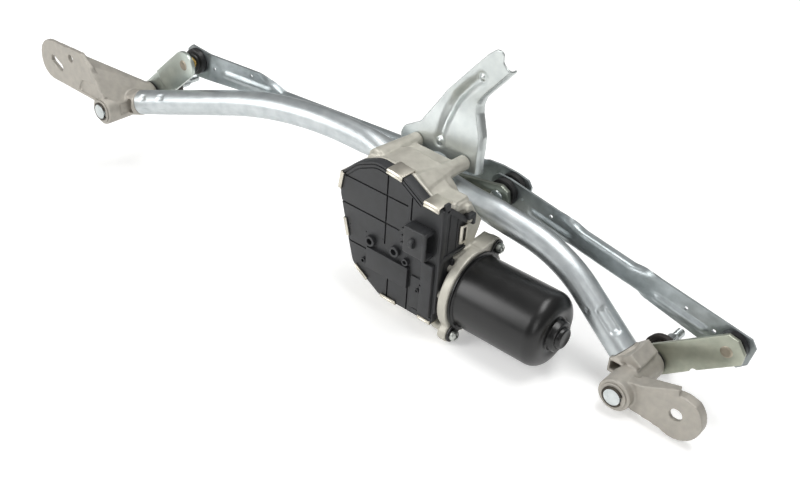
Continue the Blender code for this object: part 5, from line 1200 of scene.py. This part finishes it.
class LINKAGE_OT_motor_can(bpy.types.Operator):
    """Deep-drawn motor can with its bearing boss, rim and two ears"""
    bl_idname = "linkage.motor_can"
    bl_label = "Motor can"

    def execute(self, context):
        size = context.scene.linkage_motor
        radius = size.can_diameter * HALF_MM
        start, end = CAN_START, CAN_START + CAN_LENGTH
        corner = [(end - CAN_CORNER + CAN_CORNER * math.sin(math.radians(9.0 * i)),
                   radius - CAN_CORNER + CAN_CORNER * math.cos(math.radians(9.0 * i))) for i in range(11)]
        profile = [(start, radius - 1.6), (start, radius + 2.4), (start + 0.3, radius + 2.9),
                   (start + 1.3, radius + 2.9), (start + 1.6, radius + 2.4), (start + 1.7, radius + 0.9),
                   (start + 2.6, radius + 0.1), *corner, (end, 15.0), (end - 0.6, 14.0), (end - 0.3, 13.0),
                   (end + 1.0, 12.5), (end + 3.8, 12.2), (end + 4.6, 11.6), (end + 4.8, 10.6),
                   (end + 4.8, 9.2), (end + 4.4, 8.8), (end + 4.9, 8.4), (end + 7.0, 8.2), (end + 7.7, 7.4),
                   (end + 7.8, 6.0), (end + 7.5, 5.4), (end + 7.5, 0.0), (end + 3.4, 0.0),
                   (end + 3.4, 10.0), (end - 1.6, 10.9), (end - 1.6, radius - 11.0),
                   (end - 11.0, radius - 1.6)]
        can = turned("drawn_motor_can", profile, MOTOR_AXIS, "X", 96)
        for spot_at in EAR_SPOTS:
            toward = (Vector(spot_at) - Vector(MOTOR_AXIS)).normalized()
            base = Vector(MOTOR_AXIS) + toward * (radius + 0.8)
            ear = break_edges(plate("ear", slot_outline(base, spot_at, 6.5), start, start + 1.6, "X"), 0.4)
            pad = bar("pad", (start + 0.4, *spot_at), (start + 1.9, *spot_at), 5.4, 32)
            add(can, ear, pad)
            cut(can, bar("hole", (start - 3.0, *spot_at), (start + 5.0, *spot_at), 2.8, 24))
        fit_out(can, "stoved_black_paint", "frame", ("motor_can",), 35.0)
        for name, (u, v) in zip(("upper", "lower"), EAR_SPOTS):
            head = start + 1.95
            screw = turned(name + "_pan_screw", [
                (start - 7.0, 0.0), (start - 7.0, 2.5), (head, 2.5), (head, 4.5), (head + 1.4, 4.5),
                (head + 2.8, 4.0), (head + 3.7, 2.8), (head + 4.0, 1.2), (head + 4.0, 0.0)], (u, v), "X")
            for turn_at in (25.0, 115.0):
                du, dv = 2.5 * math.cos(math.radians(turn_at)), 2.5 * math.sin(math.radians(turn_at))
                cross = plate("cross", slot_outline((u - du, v - dv), (u + du, v + dv), 0.6, 4), head + 2.2,
                              head + 6.0, "X")
                cut(screw, cross)
            fit_out(screw, "zinc_plated_screw", "frame", (name + "_motor_screw",), 30.0)
        return {"FINISHED"}


BRACKET = (
    (-244.0, 94.0, 6.0), (-238.5, 107.5, 8.0), (-223.5, 116.3, 5.0), (-206.0, 146.5, 8.0),
    (-184.0, 172.6, 4.0), (-171.5, 187.0, 6.0), (-164.5, 192.9, 4.0), (-158.0, 192.6, 4.0),
    (-157.6, 184.0, 2.0), (-151.1, 178.6, 1.0), (-168.1, 158.3, 6.0), (-176.2, 147.2, 8.0),
    (-175.6, 137.2, 8.0), (-166.2, 119.4, 16.0), (-165.4, 92.0, 2.0), (-186.0, 92.0, 4.0),
    (-200.0, 99.0, 10.0), (-214.0, 92.0, 4.0))
BRACKET_FOLD = (
    (-151.1, 179.1), (-158.7, 169.5), (-168.1, 158.3), (-173.6, 151.5), (-176.0, 144.5), (-175.0, 137.2),
    (-170.8, 128.9), (-166.9, 121.4), (-165.2, 112.4), (-165.0, 101.6), (-164.8, 91.5))
BRACKET_BEAD = ((-174.7, 167.2), (-184.7, 157.3), (-194.6, 144.8), (-198.8, 134.7), (-201.0, 123.9),
                (-202.2, 107.5))


def bracket_level(u, v):
    """How far a point of the bracket stands behind its lower part, in mm."""
    level = 9.0 * ease((v - 104.0) / 44.0)
    here = Vector((u, v))
    nearest = 99.0
    share = 0.0
    for i, (start, end) in enumerate(zip(BRACKET_BEAD, BRACKET_BEAD[1:])):
        a, b = Vector(start), Vector(end)
        along = min(1.0, max(0.0, (here - a).dot(b - a) / (b - a).length_squared))
        gap = (a.lerp(b, along) - here).length
        if gap < nearest:
            nearest, share = gap, (i + along) / (len(BRACKET_BEAD) - 1)
    level += (1.0 + 2.6 * math.sin(math.pi * share)) * ease(1.0 - nearest / 6.4)
    for spot_at in (BRACKET_BEAD[0], BRACKET_BEAD[-1]):
        gap = (Vector(spot_at) - here).length
        level += 1.4 * ease(1.0 - gap / 7.0) - 3.2 * ease(1.0 - gap / 3.8)
    return level


class LINKAGE_OT_bracket(bpy.types.Operator):
    """Pressed bracket with its turned edge, set-back upper part, bead and dimples, and its two bolts"""
    bl_idname = "linkage.bracket"
    bl_label = "Upper bracket"

    def execute(self, context):
        near = BOSS_END + GAP

        def where(s, t):
            u, v = -196.0 + 104.0 * s, 142.5 + 108.0 * t
            return u, near + 1.0 + bracket_level(u, v), v

        item = grid("pressed_bracket", 104, 108, where)
        apply_modifier(item, "SOLIDIFY", thickness=SHEET_THICK * MM, offset=0.0)
        edit(item, close_up)
        trim = plate("trim", rounded(BRACKET, 10.0), near - 6.0, near + 26.0)
        combine(item, [trim], "INTERSECT")
        for u, v in BOSSES:
            cut(item, bar("bolt", (u, near - 3.0, v), (u, near + 5.0, v), BOLT_HOLE_R))
        take(turned_edge(near))
        item.select_set(True)
        context.view_layer.objects.active = item
        bpy.ops.object.join()
        cast_skin(item, context.scene.linkage_frame.sheet_grain / MM, 4)
        fit_out(item, "zinc_plated_bracket", "frame", ("upper_bracket",), 70.0)
        for name, (u, v) in zip(("left", "right"), BOSSES):
            head = near + 2.0 + GAP
            bolt = turned(name + "_hexagon_bolt",
                          [(head - 19.6, 0.0), (head - 20.0, 2.4), (head - 19.4, 3.0), (head, 3.0),
                                                   (head, 5.2), (head + 0.5, 5.4), (head + 0.5, 0.0)], (u, v))
            cap = break_edges(plate("hexagon", circle((u, v), 5.5, 6), head + 0.4, head + 4.5), 0.4)
            add(bolt, cap)
            fit_out(bolt, "zinc_plated_screw", "frame", (name + "_bracket_bolt",), 30.0)
        return {"FINISHED"}


def turned_edge(near):
    """The strip of the bracket that rolls back along its right edge."""
    path = []
    for a, b in zip(BRACKET_FOLD, BRACKET_FOLD[1:]):
        path += [Vector(a).lerp(Vector(b), k / 8) for k in range(8)]
    path.append(Vector(BRACKET_FOLD[-1]))
    rows = ((3.4, 1.0), (2.0, 1.1), (0.6, 1.8), (-0.4, 3.0), (-0.8, 4.6), (-0.8, 6.4), (-0.8, 8.2))

    def where(s, t):
        i = round((s + 0.5) * (len(path) - 1))
        inward, depth = rows[round((t + 0.5) * (len(rows) - 1))]
        way = (path[min(i + 1, len(path) - 1)] - path[max(i - 1, 0)]).normalized()
        here = path[i] + Vector((way.y, -way.x)) * inward
        return here.x, near + depth + bracket_level(*here), here.y

    item = grid("turned_edge", len(path) - 1, len(rows) - 1, where)
    apply_modifier(item, "SOLIDIFY", thickness=SHEET_THICK * MM, offset=0.0)
    return edit(item, close_up)


INNER = {
    "sintered_bronze": ("left_shaft_bush", "right_shaft_bush", "output_bush", "end_bearing",
                        "flange_bearing"),
    "turned_bright_steel": ("output_shaft", "armature_shaft", "armature_core"),
    "natural_nylon": ("worm_wheel",), "copper_winding": ("armature_winding", "commutator"),
    "ferrite": ("motor_magnet", "upper_brush", "lower_brush"), "glass_filled_nylon": ("brush_plate",),
}


class LINKAGE_OT_inner_parts(bpy.types.Operator):
    """Finishes of the pieces inside the housings, whose shapes are right in the frame"""
    bl_idname = "linkage.inner_parts"
    bl_label = "Inner parts"

    def execute(self, context):
        for name, nodes in INNER.items():
            for node_name in nodes:
                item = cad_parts[node_name]
                item.data.materials.clear()
                item.data.materials.append(FINISHES[name])
        return {"FINISHED"}


# Stage

CAMERA_AT = (0.1832, -0.5190, 0.4665)
CAMERA_RIGHT = (0.7514, 0.6573, 0.0579)
CAMERA_UP = (-0.3999, 0.3837, 0.8324)
LAMPS_AIM = (-0.27, 0.0, 0.05)


def soft_lamp(name, place_at, aim, power, width, height):
    """A rectangular studio lamp that looks at a point."""
    lamp = bpy.data.lights.new(name, "AREA")
    lamp.shape = "RECTANGLE"
    lamp.size, lamp.size_y, lamp.energy = width, height, power
    item = bpy.data.objects.new(name, lamp)
    item.location = place_at
    item.rotation_euler = (Vector(aim) - Vector(place_at)).to_track_quat("-Z", "Y").to_euler()
    bpy.context.scene.collection.objects.link(item)


def pale_floor():
    """Matt studio paper: it shows near white and keeps the soft shadow."""
    tree, shader = finish("studio_paper", 0.0)
    fibre = node(tree, "TexNoise", {"Vector": spot(tree), "Scale": per_mm(30.0)})
    ramp = node(tree, "ValToRGB", {"Fac": fibre.outputs["Fac"]})
    ends = ramp.color_ramp.elements
    ends[0].color, ends[1].color = linear("#F1F1F0"), linear("#F4F4F3")
    tree.links.new(ramp.outputs["Color"], shader.inputs["Base Color"])
    shader.inputs["Roughness"].default_value = 0.9
    shader.inputs["Specular IOR Level"].default_value = 0.1
    rays = node(tree, "LightPath")
    seen = node(tree, "Math", {0: rays.outputs["Is Camera Ray"], 1: rays.outputs["Is Glossy Ray"]},
                operation="ADD")
    seen = node(tree, "Math", {0: seen.outputs[0], 1: rays.outputs["Is Transmission Ray"]}, operation="ADD")
    glow = node(tree, "Math", {0: seen.outputs[0], 1: bpy.context.scene.linkage_stage.floor_glow},
                operation="MULTIPLY")
    shader.inputs["Emission Color"].default_value = (1.0, 1.0, 1.0, 1.0)
    tree.links.new(glow.outputs[0], shader.inputs["Emission Strength"])
    return FINISHES["studio_paper"]


class LINKAGE_OT_stage(bpy.types.Operator):
    """Pale floor, soft light and the camera"""
    bl_idname = "linkage.stage"
    bl_label = "Stage"

    def execute(self, context):
        stage = context.scene.linkage_stage
        quiet()
        low = CAD_BOX[0].z - 0.001
        bpy.ops.mesh.primitive_plane_add(size=12.0, location=(CAD_BOX[0].x / 2, 0.0, low))
        floor = context.object
        floor.name = "studio_floor"
        bpy.ops.object.transform_apply(location=True, rotation=True, scale=True)
        floor.data.materials.append(pale_floor())
        world = bpy.data.worlds.new("studio_room")
        context.scene.world = world
        world.use_nodes = True
        tree = world.node_tree
        height = node(tree, "SeparateXYZ", {"Vector": node(tree, "TexCoord").outputs["Generated"]})
        ramp = node(tree, "ValToRGB", {"Fac": height.outputs["Z"]})
        ends = ramp.color_ramp.elements
        ends[0].position, ends[1].position = 0.0, 0.75
        ends[0].color, ends[1].color = linear(stage.wall), linear(stage.ceiling)
        room = tree.nodes["Background"]
        tree.links.new(ramp.outputs["Color"], room.inputs["Color"])
        room.inputs["Strength"].default_value = stage.room_light
        soft_lamp("key_lamp", (-1.12, -1.33, 0.9), LAMPS_AIM, stage.key_light, 0.9, 1.2)
        soft_lamp("fill_lamp", (1.1, -1.3, 0.9), LAMPS_AIM, stage.fill_light, 0.8, 1.0)
        soft_lamp("top_lamp", (0.1, 0.25, 1.8), LAMPS_AIM, stage.top_light, 1.4, 0.7)
        camera = bpy.data.objects.new("camera", bpy.data.cameras.new("camera"))
        camera.data.sensor_width = 36.0
        camera.data.lens = stage.lens
        camera.data.clip_start, camera.data.clip_end = 0.02, 30.0
        right = Vector(CAMERA_RIGHT)
        up = Vector(CAMERA_UP)
        back = right.cross(up)
        camera.matrix_world = Matrix.Translation(CAMERA_AT) @ Matrix(
            (right, up, back)).transposed().to_4x4()
        context.scene.collection.objects.link(camera)
        context.scene.camera = camera
        context.scene.view_settings.view_transform = "Standard"
        return {"FINISHED"}


class LINKAGE_OT_finishes(bpy.types.Operator):
    """Makes every finish"""
    bl_idname = "linkage.finishes"
    bl_label = "Finishes"

    def execute(self, context):
        make_finishes(context.scene.linkage_tints)
        return {"FINISHED"}


# Settings, panel and registration

class LinkageFrameSize(bpy.types.PropertyGroup):
    tube_diameter: bpy.props.FloatProperty(
        name="Tube diameter", description="Outside diameter of the frame tube", default=0.022, unit="LENGTH")
    tube_sides: bpy.props.IntProperty(name="Tube sides", description="Faces round the tube", default=72)
    casting_grain: bpy.props.FloatProperty(
        name="Pivot fillet", description="Cell size that rounds the pivot castings", default=0.0008,
        unit="LENGTH")
    sheet_grain: bpy.props.FloatProperty(
        name="Bracket fillet", description="Cell size that rounds the bracket", default=0.0007, unit="LENGTH")


class LinkageDriveSize(bpy.types.PropertyGroup):
    lever_width: bpy.props.FloatProperty(
        name="Lever width", description="Width of both levers", default=0.0248, unit="LENGTH")


class LinkageMotorSize(bpy.types.PropertyGroup):
    can_diameter: bpy.props.FloatProperty(
        name="Can diameter", description="Outside diameter of the motor can", default=0.0596, unit="LENGTH")
    casting_grain: bpy.props.FloatProperty(
        name="Housing fillet", description="Cell size that rounds the gear casting", default=0.001,
        unit="LENGTH")


class LinkageTints(bpy.types.PropertyGroup):
    tube: bpy.props.StringProperty(name="Tube zinc", description="Brightest tone of the tube",
                                   default="#C6CBCC")
    sheet: bpy.props.StringProperty(name="Rod zinc", description="Brightest tone of the rods",
                                    default="#B4BBBD")
    casting: bpy.props.StringProperty(name="Casting", description="Lighter tone of the castings",
                                      default="#B0ABA2")
    cover: bpy.props.StringProperty(name="Cover", description="Lighter tone of the moulding",
                                    default="#2E2F31")
    can: bpy.props.StringProperty(name="Can", description="Lighter tone of the can's paint",
                                  default="#101010")


class LinkageStage(bpy.types.PropertyGroup):
    key_light: bpy.props.FloatProperty(name="Key", description="Power of the key lamp", default=18.0,
                                       unit="POWER")
    fill_light: bpy.props.FloatProperty(name="Fill", description="Power of the fill lamp", default=6.0,
                                        unit="POWER")
    top_light: bpy.props.FloatProperty(name="Top", description="Power of the top lamp", default=20.0,
                                       unit="POWER")
    room_light: bpy.props.FloatProperty(name="Room", description="Strength of the room's light", default=0.45)
    floor_glow: bpy.props.FloatProperty(name="Floor", description="Extra brightness of the paper",
                                        default=0.33)
    wall: bpy.props.StringProperty(name="Wall", description="Colour of the room's walls", default="#9C9C9C")
    ceiling: bpy.props.StringProperty(name="Ceiling", description="Colour of the room's ceiling",
                                      default="#E8E8E8")
    lens: bpy.props.FloatProperty(name="Lens", description="Focal length", default=45.1, unit="CAMERA")


GROUPS = (("linkage_frame", LinkageFrameSize), ("linkage_drive", LinkageDriveSize),
          ("linkage_motor", LinkageMotorSize), ("linkage_tints", LinkageTints),
          ("linkage_stage", LinkageStage))
STEPS = (
    LINKAGE_OT_finishes, LINKAGE_OT_tube, LINKAGE_OT_left_pivot, LINKAGE_OT_right_pivot,
    LINKAGE_OT_spindles, LINKAGE_OT_levers, LINKAGE_OT_studs, LINKAGE_OT_cups, LINKAGE_OT_rods,
    LINKAGE_OT_crank, LINKAGE_OT_gear_housing, LINKAGE_OT_gear_cover, LINKAGE_OT_clips,
    LINKAGE_OT_motor_can, LINKAGE_OT_bracket, LINKAGE_OT_inner_parts, LINKAGE_OT_stage)


class LINKAGE_PT_panel(bpy.types.Panel):
    """The steps that build the linkage, and its sizes and finishes"""
    bl_idname = "LINKAGE_PT_panel"
    bl_label = "Wiper linkage"
    bl_space_type = "VIEW_3D"
    bl_region_type = "UI"
    bl_category = "Linkage"

    def draw(self, context):
        for name, group in GROUPS:
            settings = getattr(context.scene, name)
            for key in group.__annotations__:
                self.layout.prop(settings, key)
        for step in STEPS:
            self.layout.operator(step.bl_idname)


def register():
    for name, group in GROUPS:
        bpy.utils.register_class(group)
        setattr(bpy.types.Scene, name, bpy.props.PointerProperty(type=group))
    for step in (*STEPS, LINKAGE_PT_panel):
        bpy.utils.register_class(step)


def unregister():
    for step in (LINKAGE_PT_panel, *reversed(STEPS)):
        bpy.utils.unregister_class(step)
    for name, group in reversed(GROUPS):
        delattr(bpy.types.Scene, name)
        bpy.utils.unregister_class(group)


def main():
    register()
    for step in STEPS:
        family, action = step.bl_idname.split(".")
        getattr(getattr(bpy.ops, family), action)()


if __name__ == "__main__":
    main()
